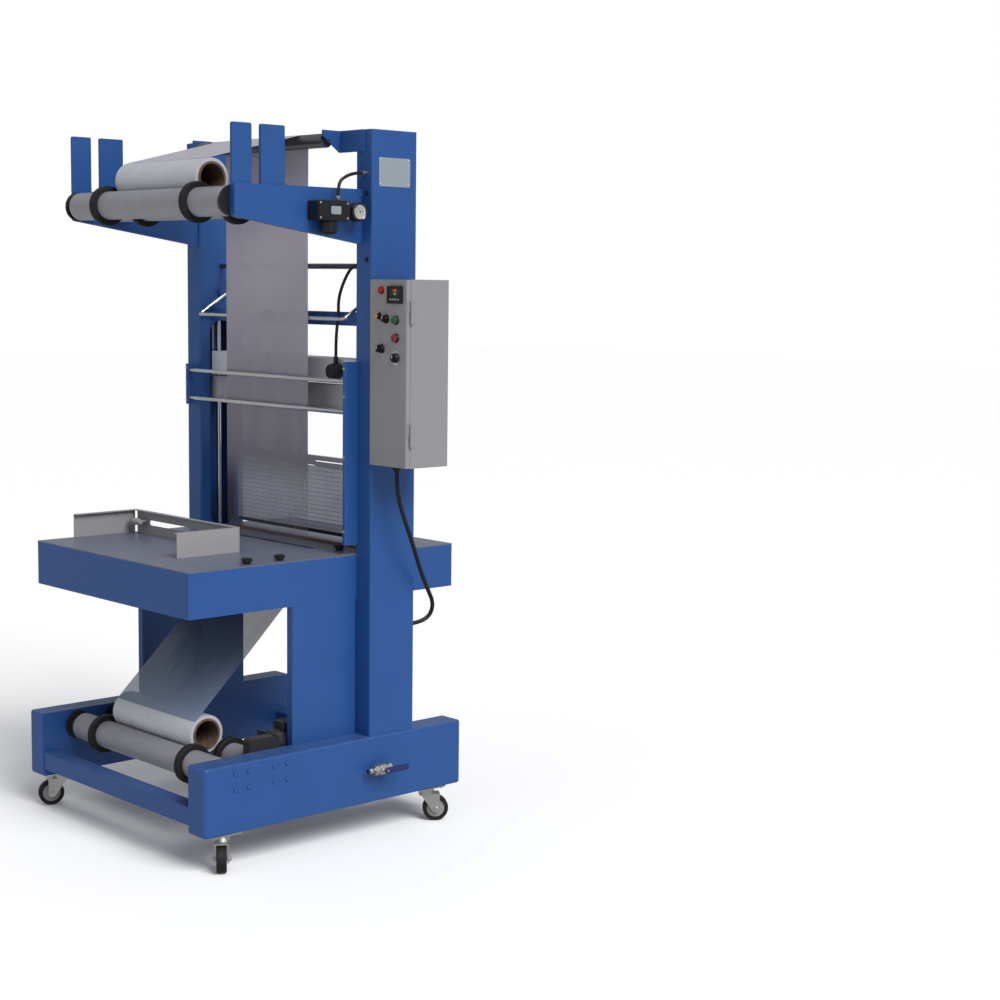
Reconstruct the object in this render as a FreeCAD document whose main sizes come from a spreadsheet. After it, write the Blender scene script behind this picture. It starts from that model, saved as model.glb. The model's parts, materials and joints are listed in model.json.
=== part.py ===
import FreeCAD, Part
import math
import os
import re
import Sketcher
from FreeCAD import Placement, Rotation, Vector

# Web sealer for sleeve wrapping: two film rolls feed a curtain of film between two posts.
# The operator pushes the goods through the curtain and a heated jaw comes down behind them.
# X runs to the operator's right, Y is the way the goods travel, Z is up.
# The sizes below are measured from the middle of the frame in X and from a line just ahead
# of the posts in Y, and every sub-part is placed so that the origin is at the middle of the
# floor area that the whole machine covers.

# Driving dimensions in millimetres, and angles in degrees.
SIZES = {
    # Casters
    "caster_height": 104, "plate_thick": 4, "plate_width": 70, "plate_long": 90,
    "wheel_radius": 37.5, "wheel_width": 28, "caster_trail": 28, "fork_wall": 4, "axle_radius": 5,
    "caster_front_inset": 79, "caster_rear_inset": 102,
    "turn_front_right": -124, "turn_rear_right": -34, "turn_front_left": 160, "turn_rear_left": 15,
    # Base
    "beam_outer": 465, "beam_width": 78, "beam_height": 190, "beam_wall": 3, "beam_round": 14,
    "post_front": 18, "beam_lead": 565, "beam_tail": 343, "cross_tube": 50, "cross_rise": 22,
    # Posts
    "post_width": 71, "post_depth": 162, "post_wall": 4, "post_round": 6,
    "slot_width": 90, "slot_room": 8, "slot_rise": 174, "post_head": 65,
    # Leg panels and table
    "panel_long": 227, "panel_thick": 3, "panel_return": 25, "panel_slack": 2,
    "table_lap": 10, "table_lead": 2, "table_tail": 18, "table_depth": 127,
    "table_height": 814, "skirt_wall": 3, "skirt_lip": 22, "top_sheet": 3,
    "rib_height": 40, "rib_pitch": 180, "film_slot": 24, "film_slot_side": 32,
    "guide_bar_radius": 10, "guide_bar_drop": 78,
    # Arms and forks
    "arm_set": 28, "arm_thick": 20, "arm_lead": 10, "arm_drop": 163, "arm_tip_height": 87,
    "arm_root_height": 151, "arm_wall": 3, "arm_round": 8,
    "fork_height": 157, "fork_front_width": 62, "fork_rear_width": 78, "fork_slot": 30,
    "fork_thick": 10, "fork_round": 5,
    # Rollers and film rolls
    "roller_radius": 40, "roller_end_gap": 5, "roller_plug": 12, "roller_wall": 3, "shaft_radius": 10,
    "half_gap": 64, "top_reach": 418, "top_roller_drop": 47, "base_reach": 446, "base_roller_drop": 48,
    "collar_radius": 56, "collar_thick": 20, "collar_room": 26,
    "film_roll_radius": 54, "core_wall": 6, "core_bore": 38, "film_half": 203,
    "bearing_radius": 42, "bearing_thick": 14, "running_gap": 0.3, "fit_gap": 0.05,
    # Film path between the posts
    "web_lead": 26, "film_thick": 0.6, "idler_radius": 20, "idler_room": 75, "idler_drop": 28,
    "idler_plate": 6, "idler_reach": 66, "idler_shaft": 6, "idler_ear": 60, "rod_radius": 6, "rod_lead": 10,
    "rod_rise": 14, "rod_spacing": 85, "strip_width": 13, "strip_rise": 55,
    "strip_foot": 28, "strip_depth": 46, "strip_lap": 20,
    "member_lead": 39, "member_depth": 24, "member_drop": 1, "member_height": 39, "member_wall": 2,
    "tie_radius": 8, "tie_rise": 169,
    "bail_radius": 5, "bail_room": 35, "bail_rise": 20, "bail_drop": 65,
    "boss_radius": 14, "boss_thick": 11,
    # Sealing jaw
    "opening": 470, "cover_depth": 74, "cover_rise": 6, "cover_height": 72, "cover_wall": 3,
    "jaw_depth": 42, "jaw_height": 60, "jaw_wall": 4, "heater_depth": 22,
    "heater_height": 26, "heater_room": 37, "block_depth": 58, "block_height": 72,
    "guide_set": 18, "guide_radius": 8, "lift_set": 50, "lift_radius": 16, "lift_bore": 13,
    "lift_rise": 42, "lift_cap": 8, "piston_radius": 6, "stroke_room": 35,
    "piston_head": 20, "carrier_plate": 8, "shaft_drop": 34, "jaw_rest_gap": 0.3,
    "lower_jaw_depth": 44, "lower_jaw_height": 52, "strip_rubber": 4, "rubber_depth": 26,
    # Exit guard
    "flap_lead": 57, "flap_thick": 4, "flap_rise": 222, "flap_room": 9, "rail_size": 14,
    "flap_bottom_gap": 12, "flap_edge": 10, "knuckle_radius": 6, "flap_pin": 2.5,
    # Pusher
    "pusher_inset": 7, "pusher_long": 555, "pusher_lead": 117, "pusher_deep": 218,
    "pusher_height": 70, "pusher_sheet": 2, "pusher_flange": 16, "pusher_round": 14,
    "finger_place": 209, "finger_half": 126, "finger_radius": 7.5, "grip_place": 18, "grip_long": 54,
    # Table knobs
    "knob_inset": 35, "knob_third_inset": 97, "knob_first_lead": 212, "knob_second_lead": 322,
    "knob_third_lead": 12, "knob_radius": 15, "knob_height": 16, "stud_radius": 4,
    # Control box
    "box_depth": 160, "box_lead": 8, "box_width": 138, "box_rise": 260, "box_height": 516,
    "box_wall": 2, "box_round": 4, "door_gap": 1, "door_sheet": 2, "door_depth": 14,
    "hinge_radius": 5, "hinge_length": 30, "hinge_pin": 2, "hinge_leaf": 1.5, "hinge_inset": 60,
    "upper_rail_rise": 400, "lower_rail_rise": 260, "red_lamp_rise": 486, "amber_lamp_rise": 415,
    "controller_rise": 474,
    # Air supply
    "regulator_x": 50, "regulator_lead": 190, "regulator_long": 108, "regulator_drop": 91,
    "regulator_height": 54, "regulator_knob_radius": 22, "regulator_knob_height": 36,
    "gauge_radius": 27, "gauge_lead": 34, "gauge_rise": 26, "gauge_thick": 24,
    "valve_lead": 18, "valve_drop": 89, "valve_radius": 17, "valve_reach": 30, "valve_set": 26,
    "lever_length": 70,
    # Film feed motor
    "gearbox_thick": 33, "gearbox_width": 90, "gearbox_height": 128, "motor_radius": 36,
    "motor_set": 57, "motor_length": 150, "motor_flange": 8, "motor_case": 60,
    # Hoses and cable
    "hose_radius": 4.5, "cable_radius": 6, "cable_inset": 20, "cable_drop": 474,
}

# Places that follow from the driving dimensions, as formulas in the same sheet.
PLACES = {
    "post_inner": "beam_outer - beam_width",
    "beam_front": "post_front - beam_lead",
    "beam_rear": "post_front + beam_tail",
    "caster_front_y": "beam_front + caster_front_inset",
    "caster_rear_y": "beam_rear - caster_rear_inset",
    "panel_front": "post_front - panel_long",
    "table_half": "post_inner + table_lap",
    "table_front": "beam_front - table_lead",
    "table_rear": "beam_rear + table_tail",
    "table_bottom": "table_height - table_depth",
    "jaw_top": "table_height + opening",
    "slot_bottom": "table_height - slot_room",
    "slot_top": "jaw_top + slot_rise",
    "lift_bottom": "slot_top + lift_rise",
    "lift_length": "opening - stroke_room",
    "post_top": "lift_bottom + lift_length + post_head",
    "film_slot_half": "film_half + film_slot_side",
    "arm_outer": "post_inner + arm_set",
    "arm_top": "post_top - arm_drop",
    "arm_tip_bottom": "arm_top - arm_tip_height",
    "arm_root_bottom": "arm_top - arm_root_height",
    "top_front_y": "post_front - top_reach",
    "arm_tip": "top_front_y - arm_lead",
    "top_roller_z": "arm_top - top_roller_drop",
    "base_front_y": "post_front - base_reach",
    "base_roller_z": "caster_height + beam_height - base_roller_drop",
    "collar_x": "film_half + collar_room",
    "web_y": "post_front - web_lead",
    "idler_half": "post_inner - idler_room",
    "idler_z": "post_top - idler_drop",
    "seal_y": "post_front + post_depth / 2",
    "cover_bottom": "jaw_top + cover_rise",
    "rod_y": "web_y - rod_lead",
    "rod_upper_z": "cover_bottom + rod_rise",
    "rod_lower_z": "rod_upper_z - rod_spacing",
    "strip_top": "rod_upper_z + strip_rise",
    "strip_bottom": "table_height + strip_foot",
    "member_front": "seal_y - member_lead",
    "member_bottom": "slot_top - member_drop",
    "tie_z": "member_bottom + tie_rise",
    "bail_half": "post_inner - bail_room",
    "bail_z": "member_bottom + bail_rise",
    "bail_pivot_z": "bail_z + bail_drop",
    "heater_half": "post_inner - heater_room",
    "guide_x": "post_inner + guide_set",
    "lift_x": "post_inner + lift_set",
    "shaft_bottom": "table_height - shaft_drop",
    "flap_y": "seal_y + flap_lead",
    "flap_pivot_z": "table_height + flap_rise",
    "flap_half": "post_inner - flap_room",
    "pusher_left": "pusher_inset - table_half",
    "pusher_right": "pusher_left + pusher_long",
    "pusher_front": "table_front + pusher_lead",
    "pusher_rear": "pusher_front + pusher_deep",
    "knob_x": "table_half - knob_inset",
    "knob_third_x": "table_half - knob_third_inset",
    "knob_first_y": "table_front + knob_first_lead",
    "knob_second_y": "table_front + knob_second_lead",
    "knob_third_y": "post_front + knob_third_lead",
    "box_front": "post_front + box_lead",
    "box_bottom": "table_height + box_rise",
    "regulator_front": "post_front - regulator_lead",
    "regulator_rear": "regulator_front + regulator_long",
    "regulator_bottom": "arm_top - regulator_drop",
    "regulator_top": "regulator_bottom + regulator_height",
    "gauge_y": "regulator_rear + gauge_lead",
    "gauge_z": "regulator_bottom + gauge_rise",
    "valve_y": "post_front + valve_lead",
    "valve_z": "caster_height + beam_height - valve_drop",
    "motor_x": "post_inner - motor_set",
}
CELLS = {**SIZES, **{alias: "=" + formula for alias, formula in PLACES.items()}}

doc = FreeCAD.newDocument("WebSealer")
sheet = doc.addObject("Spreadsheet::Sheet", "Sheet")
for row, (alias, content) in enumerate(CELLS.items(), start=1):
    sheet.set(f"A{row}", alias)
    sheet.set(f"B{row}", str(content))
    sheet.setAlias(f"B{row}", alias)
doc.recompute()

NODES = []


def linked(text):
    """The same expression with the sheet named before each of its values."""
    return re.sub(r"[a-z]\w*", lambda word: "Sheet." + word[0] if word[0] in CELLS else word[0], str(text))


def value(text):
    return float(sheet.evalExpression(str(text)))


def bind(thing, name, text):
    thing.setExpression(name, linked(text))


# Places that several pieces share, as expressions of the driving dimensions.
beam_inner = "(beam_outer - beam_width)"
beam_middle = "(beam_outer - beam_width / 2)"
beam_top = "(caster_height + beam_height)"
post_outer = "(post_inner + post_width)"
post_rear = "(post_front + post_depth)"
arm_inner = "(arm_outer - arm_thick)"
deck_bottom = "(table_height - top_sheet)"
box_outer = f"({post_outer} + box_depth)"
box_top = "(box_bottom + box_height)"
box_rear = "(box_front + box_width)"
cover_top = "(cover_bottom + cover_height)"
jaw_bottom = "(jaw_top - jaw_height)"
heater_bottom = f"({jaw_bottom} - heater_height)"
rubber_top = "(table_height + 2)"
jaw_stroke = f"({heater_bottom} - {rubber_top} - jaw_rest_gap)"
roll_rise = "sqrt((roller_radius + film_roll_radius + running_gap) ^ 2 - half_gap ^ 2)"
top_roll_y = "(top_front_y + half_gap)"
top_roll_z = f"(top_roller_z + {roll_rise})"
base_roll_y = "(base_front_y + half_gap)"
base_roll_z = f"(base_roller_z + {roll_rise})"
door_rear = "(box_front - door_gap)"
door_front = f"({door_rear} - door_depth)"
hinge_x = f"({box_outer} + hinge_radius + 0.5)"
hinge_y = "(box_front - door_gap / 2)"
bar_y = "(web_y - guide_bar_radius - film_thick)"
bar_z = "(table_height - guide_bar_drop)"
bail_y = "(web_y + film_thick / 2 + running_gap + bail_radius)"
fork_middle = f"(({arm_inner} + arm_outer) / 2)"
idler_y = "(web_y - idler_radius - film_thick)"

# The machine's floor area, from the front of the table to its rear and from the left beam to
# the hinges of the control box, and its middle, which becomes the origin.
shift_x = f"({hinge_x} + hinge_radius - beam_outer) / 2"
shift_y = "(table_front + table_rear) / 2"


def part_body(name):
    return doc.addObject("PartDesign::Body", name)


def drawing_on(owner, axis, place):
    """A sketch square to the axis. It shows Y, Z or X, Z or X, Y."""
    role = {"X": "YZ_Plane", "Y": "XZ_Plane", "Z": "XY_Plane"}[axis]
    drawing = owner.newObject("Sketcher::SketchObject", owner.Name + "Sketch")
    plane = [feature for feature in owner.Origin.OriginFeatures if feature.Role == role][0]
    drawing.AttachmentSupport = [(plane, "")]
    drawing.MapMode = "FlatFace"
    bind(drawing, "AttachmentOffset.Base.z", f"-({place})" if axis == "Y" else place)
    return drawing


def pin_down(drawing, curve, end, place):
    for kind, text in zip(("DistanceX", "DistanceY"), place):
        index = drawing.addConstraint(Sketcher.Constraint(kind, -1, 1, curve, end, value(text)))
        bind(drawing, f"Constraints[{index}]", text)


def draw_polygon(drawing, corners):
    first = drawing.GeometryCount
    spots = [Vector(value(across), value(up), 0) for across, up in corners]
    for number, spot in enumerate(spots):
        drawing.addGeometry(Part.LineSegment(spot, spots[(number + 1) % len(spots)]), False)
    for number, corner in enumerate(corners):
        following = first + (number + 1) % len(spots)
        drawing.addConstraint(Sketcher.Constraint("Coincident", first + number, 2, following, 1))
        pin_down(drawing, first + number, 1, corner)


def draw_circle(drawing, centre, radius):
    spot = Vector(value(centre[0]), value(centre[1]), 0)
    index = drawing.addGeometry(Part.Circle(spot, Vector(0, 0, 1), value(radius)), False)
    fixed = drawing.addConstraint(Sketcher.Constraint("Radius", index, value(radius)))
    bind(drawing, f"Constraints[{fixed}]", radius)
    pin_down(drawing, index, 3, centre)


def draw_slot(drawing, centre, half_length, radius, upright=False):
    """A long hole: two half circles joined by straight sides."""
    x, y = value(centre[0]), value(centre[1])
    reach, round_off = value(half_length), value(radius)
    turn = math.pi / 2 if upright else 0
    along = Vector(math.cos(turn), math.sin(turn), 0)
    across = Vector(-math.sin(turn), math.cos(turn), 0)
    middle = Vector(x, y, 0)
    first = drawing.GeometryCount
    far, near = middle + along * reach, middle - along * reach
    up_way = Vector(0, 0, 1)
    quarter = math.pi / 2
    far_arc = Part.ArcOfCircle(Part.Circle(far, up_way, round_off), turn - quarter, turn + quarter)
    near_arc = Part.ArcOfCircle(Part.Circle(near, up_way, round_off), turn + quarter, turn + 3 * quarter)
    drawing.addGeometry(far_arc, False)
    drawing.addGeometry(Part.LineSegment(far + across * round_off, near + across * round_off), False)
    drawing.addGeometry(near_arc, False)
    drawing.addGeometry(Part.LineSegment(near - across * round_off, far - across * round_off), False)
    for number in range(4):
        drawing.addConstraint(Sketcher.Constraint("Tangent", first + number, 2, first + (number + 1) % 4, 1))
    fixed = drawing.addConstraint(Sketcher.Constraint("Radius", first, round_off))
    bind(drawing, f"Constraints[{fixed}]", radius)
    if upright:
        pin_down(drawing, first, 3, (centre[0], f"({centre[1]}) + ({half_length})"))
        pin_down(drawing, first + 2, 3, (centre[0], f"({centre[1]}) - ({half_length})"))
    else:
        pin_down(drawing, first, 3, (f"({centre[0]}) + ({half_length})", centre[1]))
        pin_down(drawing, first + 2, 3, (f"({centre[0]}) - ({half_length})", centre[1]))


def rectangle(low, high, bottom, top):
    return [(low, bottom), (high, bottom), (high, top), (low, top)]


def checked_cut(owner, before):
    doc.recompute()
    if not owner.Shape.Volume < before - 1e-6:
        raise ValueError("a cut removed nothing from " + owner.Name)


def prism(owner, axis, start, end, *outlines, cut=False):
    """Material, or a cut, of one outline from start to end along the axis."""
    before = owner.Shape.Volume if cut else 0
    drawing = drawing_on(owner, axis, start)
    for outline in outlines:
        if isinstance(outline, dict):
            outline["draw"](drawing, *outline["with"])
        else:
            draw_polygon(drawing, outline)
    kind = "PartDesign::Pocket" if cut else "PartDesign::Pad"
    feature = owner.newObject(kind, owner.Name + ("Pocket" if cut else "Pad"))
    feature.Profile = drawing
    bind(feature, "Length", f"({end}) - ({start})")
    feature.Reversed = (axis == "Y") != cut
    if cut:
        checked_cut(owner, before)
    doc.recompute()
    return feature


def disc(across, up, radius):
    return {"draw": draw_circle, "with": ((across, up), radius)}


def slot(across, up, half_length, radius, upright=False):
    return {"draw": draw_slot, "with": ((across, up), half_length, radius, upright)}


def hexagon(across, up, radius):
    """The corners of a nut, with two of them level."""
    turns = [math.radians(60 * corner) for corner in range(6)]
    spots = [(radius * math.cos(turn), radius * math.sin(turn)) for turn in turns]
    return [(f"({across}) + {beside:.4f}", f"({up}) + {above:.4f}") for beside, above in spots]


def turned(owner, axis, centre, profile, cut=False):
    """A shape turned about a line along the axis. The profile gives places along it and radii."""
    before = owner.Shape.Volume if cut else 0
    if axis == "X":
        drawing = drawing_on(owner, "Y", centre[0])
        ends = [("0", centre[1]), ("100", centre[1])]
        corners = [(along, f"({centre[1]}) + ({radius})") for along, radius in profile]
    elif axis == "Y":
        drawing = drawing_on(owner, "X", centre[0])
        ends = [("0", centre[1]), ("100", centre[1])]
        corners = [(along, f"({centre[1]}) + ({radius})") for along, radius in profile]
    else:
        drawing = drawing_on(owner, "Y", centre[1])
        ends = [(centre[0], "0"), (centre[0], "100")]
        corners = [(f"({centre[0]}) + ({radius})", along) for along, radius in profile]
    spots = [Vector(value(across), value(up), 0) for across, up in ends]
    line = drawing.addGeometry(Part.LineSegment(spots[0], spots[1]), True)
    pin_down(drawing, line, 1, ends[0])
    pin_down(drawing, line, 2, ends[1])
    draw_polygon(drawing, corners)
    kind = "PartDesign::Groove" if cut else "PartDesign::Revolution"
    feature = owner.newObject(kind, owner.Name + ("Groove" if cut else "Turned"))
    feature.Profile = drawing
    feature.ReferenceAxis = (drawing, ["Axis0"])
    feature.Angle = 360
    if cut:
        checked_cut(owner, before)
    doc.recompute()
    return feature


def softened(owner, size, wanted, chamfer=False):
    """Rounds, or bevels, the edges of the solid so far that the test picks."""
    kind = "PartDesign::Chamfer" if chamfer else "PartDesign::Fillet"
    base = owner.Tip
    names = [f"Edge{number + 1}" for number, edge in enumerate(base.Shape.Edges) if wanted(edge)]
    if not names:
        raise ValueError("no edge to round on " + owner.Name)
    feature = owner.newObject(kind, owner.Name + "Soft")
    feature.Base = (base, names)
    bind(feature, "Size" if chamfer else "Radius", size)
    doc.recompute()
    return feature


def straight(axis, **limits):
    """Picks straight edges along an axis whose middle lies in the limits, given as expressions."""
    way = {"X": Vector(1, 0, 0), "Y": Vector(0, 1, 0), "Z": Vector(0, 0, 1)}[axis]
    bounds = {name: sorted((value(low), value(high))) for name, (low, high) in limits.items()}

    def wanted(edge):
        if edge.Curve.TypeId != "Part::GeomLine":
            return False
        ends = edge.Vertexes[-1].Point - edge.Vertexes[0].Point
        if ends.Length < 1e-6 or ends.normalize().cross(way).Length > 1e-6:
            return False
        middle = edge.CenterOfMass
        return all(low - 0.01 <= getattr(middle, name) <= high + 0.01 for name, (low, high) in bounds.items())

    return wanted


def repeated(owner, feature, axis, spacing, count):
    """Copies a feature along an axis of the body at an even spacing."""
    role = {"X": "X_Axis", "Y": "Y_Axis", "Z": "Z_Axis"}[axis]
    pattern = owner.newObject("PartDesign::LinearPattern", owner.Name + "Pattern")
    line = [item for item in owner.Origin.OriginFeatures if item.Role == role][0]
    pattern.Originals = [feature]
    pattern.Direction = (line, [""])
    pattern.Mode = "Spacing"
    bind(pattern, "Offset", spacing)
    pattern.Occurrences = count
    owner.Tip = pattern
    doc.recompute()
    return pattern


def rod(name, axis, start, end, centre, radius):
    """A plain round bar from start to end along the axis."""
    bar = doc.addObject("Part::Cylinder", name)
    turn = {"X": Rotation(Vector(0, 1, 0), 90), "Y": Rotation(Vector(1, 0, 0), -90), "Z": Rotation()}[axis]
    bar.Placement = Placement(Vector(0, 0, 0), turn)
    first, second = centre
    place = {"X": (start, first, second), "Y": (first, start, second), "Z": (first, second, start)}[axis]
    for letter, text in zip("xyz", place):
        bind(bar, f"Placement.Base.{letter}", text)
    bind(bar, "Radius", radius)
    bind(bar, "Height", f"({end}) - ({start})")
    return bar


def block(name, low_x, high_x, low_y, high_y, low_z, high_z):
    piece = doc.addObject("Part::Box", name)
    for letter, text in zip("xyz", (low_x, low_y, low_z)):
        bind(piece, f"Placement.Base.{letter}", text)
    sides = ((low_x, high_x), (low_y, high_y), (low_z, high_z))
    for side, (low, high) in zip(("Length", "Width", "Height"), sides):
        bind(piece, side, f"({high}) - ({low})")
    return piece


def fused(name, *pieces):
    whole = doc.addObject("Part::MultiFuse", name)
    whole.Shapes = list(pieces)
    whole.Refine = True
    doc.recompute()
    return whole


def cut_from(name, base, tool):
    whole = doc.addObject("Part::Cut", name)
    whole.Base = base
    whole.Tool = tool
    doc.recompute()
    return whole


def node(label, *pieces):
    """Names a sub-part and moves it from the drawing frame to the machine's own origin."""
    if len(pieces) == 1:
        made = pieces[0]
    else:
        made = doc.addObject("Part::Compound", label)
        made.Links = list(pieces)
    made.Label = label
    bind(made, "Placement.Base.x", f"-({shift_x})")
    bind(made, "Placement.Base.y", f"-({shift_y})")
    NODES.append(made)
    return made


def mirrored(side, low, high):
    """The two ends of a piece, given for the right side, on either side."""
    if side > 0:
        return low, high
    return f"-({high})", f"-({low})"


def on_side(side, place):
    return place if side > 0 else f"-({place})"


SIDES = {"right": 1, "left": -1}


# Base frame: two closed beams with rounded edges, joined by two square tubes.
def base_beam(side):
    name = "right" if side > 0 else "left"
    beam = part_body("base_beam_" + name)
    low, high = mirrored(side, beam_inner, "beam_outer")
    prism(beam, "Y", "beam_front", "beam_rear", rectangle(low, high, "caster_height", beam_top))
    outer = on_side(side, "beam_outer")
    softened(beam, "beam_round", straight("Z", x=(outer, outer)))
    softened(beam, "beam_round / 2", straight("Y", x=(outer, outer)))
    low, high = mirrored(side, f"{beam_inner} + beam_wall", "beam_outer - beam_wall")
    inside = rectangle(low, high, "caster_height + beam_wall", f"{beam_top} - beam_wall")
    prism(beam, "Y", "beam_front + 2 * beam_wall", "beam_rear - 2 * beam_wall", inside, cut=True)
    return beam


def cross_tube(name, front):
    tube = part_body(name)
    bottom = "caster_height + cross_rise"
    rear = f"({front}) + cross_tube"
    prism(tube, "X", f"-({beam_inner})", beam_inner, rectangle(front, rear, bottom, f"{bottom} + cross_tube"))
    hollow = rectangle(f"({front}) + beam_wall", f"{rear} - beam_wall",
                       f"{bottom} + beam_wall", f"{bottom} + cross_tube - beam_wall")
    prism(tube, "X", f"-({beam_inner})", beam_inner, hollow, cut=True)
    return tube


node(
    "base_frame",
    base_beam(1),
    base_beam(-1),
    cross_tube("front_tube", "beam_front + beam_wall"),
    cross_tube("rear_tube", "beam_rear - beam_wall - cross_tube"),
)


# Casters: a plate under the beam, a fork that swivels below it and a wheel in the fork.
CASTERS = {
    "front_right": (1, "caster_front_y", "turn_front_right"),
    "rear_right": (1, "caster_rear_y", "turn_rear_right"),
    "front_left": (-1, "caster_front_y", "turn_front_left"),
    "rear_left": (-1, "caster_rear_y", "turn_rear_left"),
}
plate_bottom = "(caster_height - plate_thick)"
fork_inner = "(wheel_width / 2 + 2)"
fork_outer = f"({fork_inner} + fork_wall)"


def caster_plate(name, side, along):
    plate = part_body("caster_plate_" + name)
    middle = on_side(side, beam_middle)
    outline = rectangle(f"{middle} - plate_width / 2", f"{middle} + plate_width / 2",
                        f"{along} - plate_long / 2", f"{along} + plate_long / 2")
    prism(plate, "Z", plate_bottom, "caster_height", outline)
    for across in ("-", "+"):
        for up in ("-", "+"):
            hole = slot(f"{middle} {across} plate_width * 0.36", f"{along} {up} plate_long * 0.36", "3", "4.5", True)
            prism(plate, "Z", plate_bottom, "caster_height", hole, cut=True)
    return plate


def stand_at(piece, name, side, along, turn):
    """Puts a piece drawn about its swivel line where the caster stands, turned as it rests."""
    piece.Label = name
    piece.Placement = Placement(Vector(0, 0, 0), Rotation(Vector(0, 0, 1), value(turn)))
    bind(piece, "Placement.Base.x", f"{on_side(side, beam_middle)} - ({shift_x})")
    bind(piece, "Placement.Base.y", f"{along} - ({shift_y})")
    NODES.append(piece)


def caster_fork(name):
    fork = part_body("fork_" + name)
    head_top = f"({plate_bottom} - running_gap)"
    crown_top = "(wheel_radius * 2 + 7)"
    turned(fork, "Z", ("0", "0"), [
        (f"{crown_top} - fork_wall", "0"), (f"{crown_top} - fork_wall", "22"),
        (f"{head_top} - 3", "25"), (head_top, "25"), (head_top, "0"),
    ])
    crown = rectangle(f"-{fork_outer}", fork_outer, "-20", "caster_trail + 12")
    prism(fork, "Z", f"{crown_top} - fork_wall", crown_top, crown)
    legs = [
        ("-18", crown_top), ("caster_trail - 11", "wheel_radius - 6"), ("caster_trail - 6", "wheel_radius - 11"),
        ("caster_trail + 6", "wheel_radius - 11"), ("caster_trail + 11", "wheel_radius - 6"),
        ("caster_trail + 11", crown_top),
    ]
    prism(fork, "X", f"-{fork_outer}", f"-{fork_inner}", legs)
    prism(fork, "X", fork_inner, fork_outer, legs)
    prism(fork, "X", f"-{fork_outer} - 4", f"{fork_outer} + 4", disc("caster_trail", "wheel_radius", "axle_radius"))
    prism(fork, "Z", f"{head_top} - 6", f"{plate_bottom} - running_gap", disc("0", "0", "12"))
    return fork


def caster_wheel(name):
    wheel = part_body("wheel_" + name)
    half = "(wheel_width / 2)"
    bore = "(axle_radius + fit_gap)"
    turned(wheel, "X", ("caster_trail", "wheel_radius"), [
        (f"-{half}", bore), (f"-{half}", "12"), (f"-{half} + 5", "14"), (f"-{half} + 5", "wheel_radius - 11"),
        (f"-{half}", "wheel_radius - 9"), (f"-{half}", "wheel_radius - 3"), (f"-{half} + 4", "wheel_radius"),
        (f"{half} - 4", "wheel_radius"), (half, "wheel_radius - 3"), (half, "wheel_radius - 9"),
        (f"{half} - 5", "wheel_radius - 11"), (f"{half} - 5", "14"), (half, "12"), (half, bore),
    ])
    return wheel


node("caster_plates", *[caster_plate(name, side, along) for name, (side, along, turn) in CASTERS.items()])
for name, (side, along, turn) in CASTERS.items():
    stand_at(caster_fork(name), "caster_fork_" + name, side, along, turn)
    stand_at(caster_wheel(name), "caster_wheel_" + name, side, along, turn)


# Posts: closed sheet columns with a slot on the inner face that the jaw's end blocks run in.
def post(side):
    name = "right" if side > 0 else "left"
    column = part_body("post_column_" + name)
    low, high = mirrored(side, "post_inner", post_outer)
    prism(column, "Z", beam_top, "post_top", rectangle(low, high, "post_front", post_rear))
    softened(column, "post_round", straight("Z"))
    low, high = mirrored(side, "post_inner + post_wall", f"{post_outer} - post_wall")
    inside = rectangle(low, high, "post_front + post_wall", f"{post_rear} - post_wall")
    prism(column, "Z", beam_top, "post_top - post_wall", inside, cut=True)
    low, high = mirrored(side, "post_inner", "post_inner + post_wall")
    reach = "(slot_top - slot_bottom - slot_width) / 2"
    middle = "(slot_top + slot_bottom) / 2"
    prism(column, "X", low, high, slot("seal_y", middle, reach, "slot_width / 2", True), cut=True)
    node("post_" + name, column)


for side in SIDES.values():
    post(side)


# Leg panels: folded sheets that carry the front of the table on the beams.
def leg_panel(side):
    sheet_part = part_body("leg_panel_" + ("right" if side > 0 else "left"))
    rear = "(post_front - panel_slack)"
    outer, inner = "table_half", "(table_half - panel_return)"
    corners = [
        (outer, "panel_front"), (outer, rear), (inner, rear), (inner, f"{rear} - panel_thick"),
        (f"{outer} - panel_thick", f"{rear} - panel_thick"), (f"{outer} - panel_thick", "panel_front + panel_thick"),
        (inner, "panel_front + panel_thick"), (inner, "panel_front"),
    ]
    placed = [(on_side(side, across), along) for across, along in corners]
    prism(sheet_part, "Z", beam_top, "table_bottom", placed)
    edge = on_side(side, outer)
    softened(sheet_part, "panel_thick", straight("Z", x=(edge, edge)))
    return sheet_part


node("leg_panels", leg_panel(1), leg_panel(-1))


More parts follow.
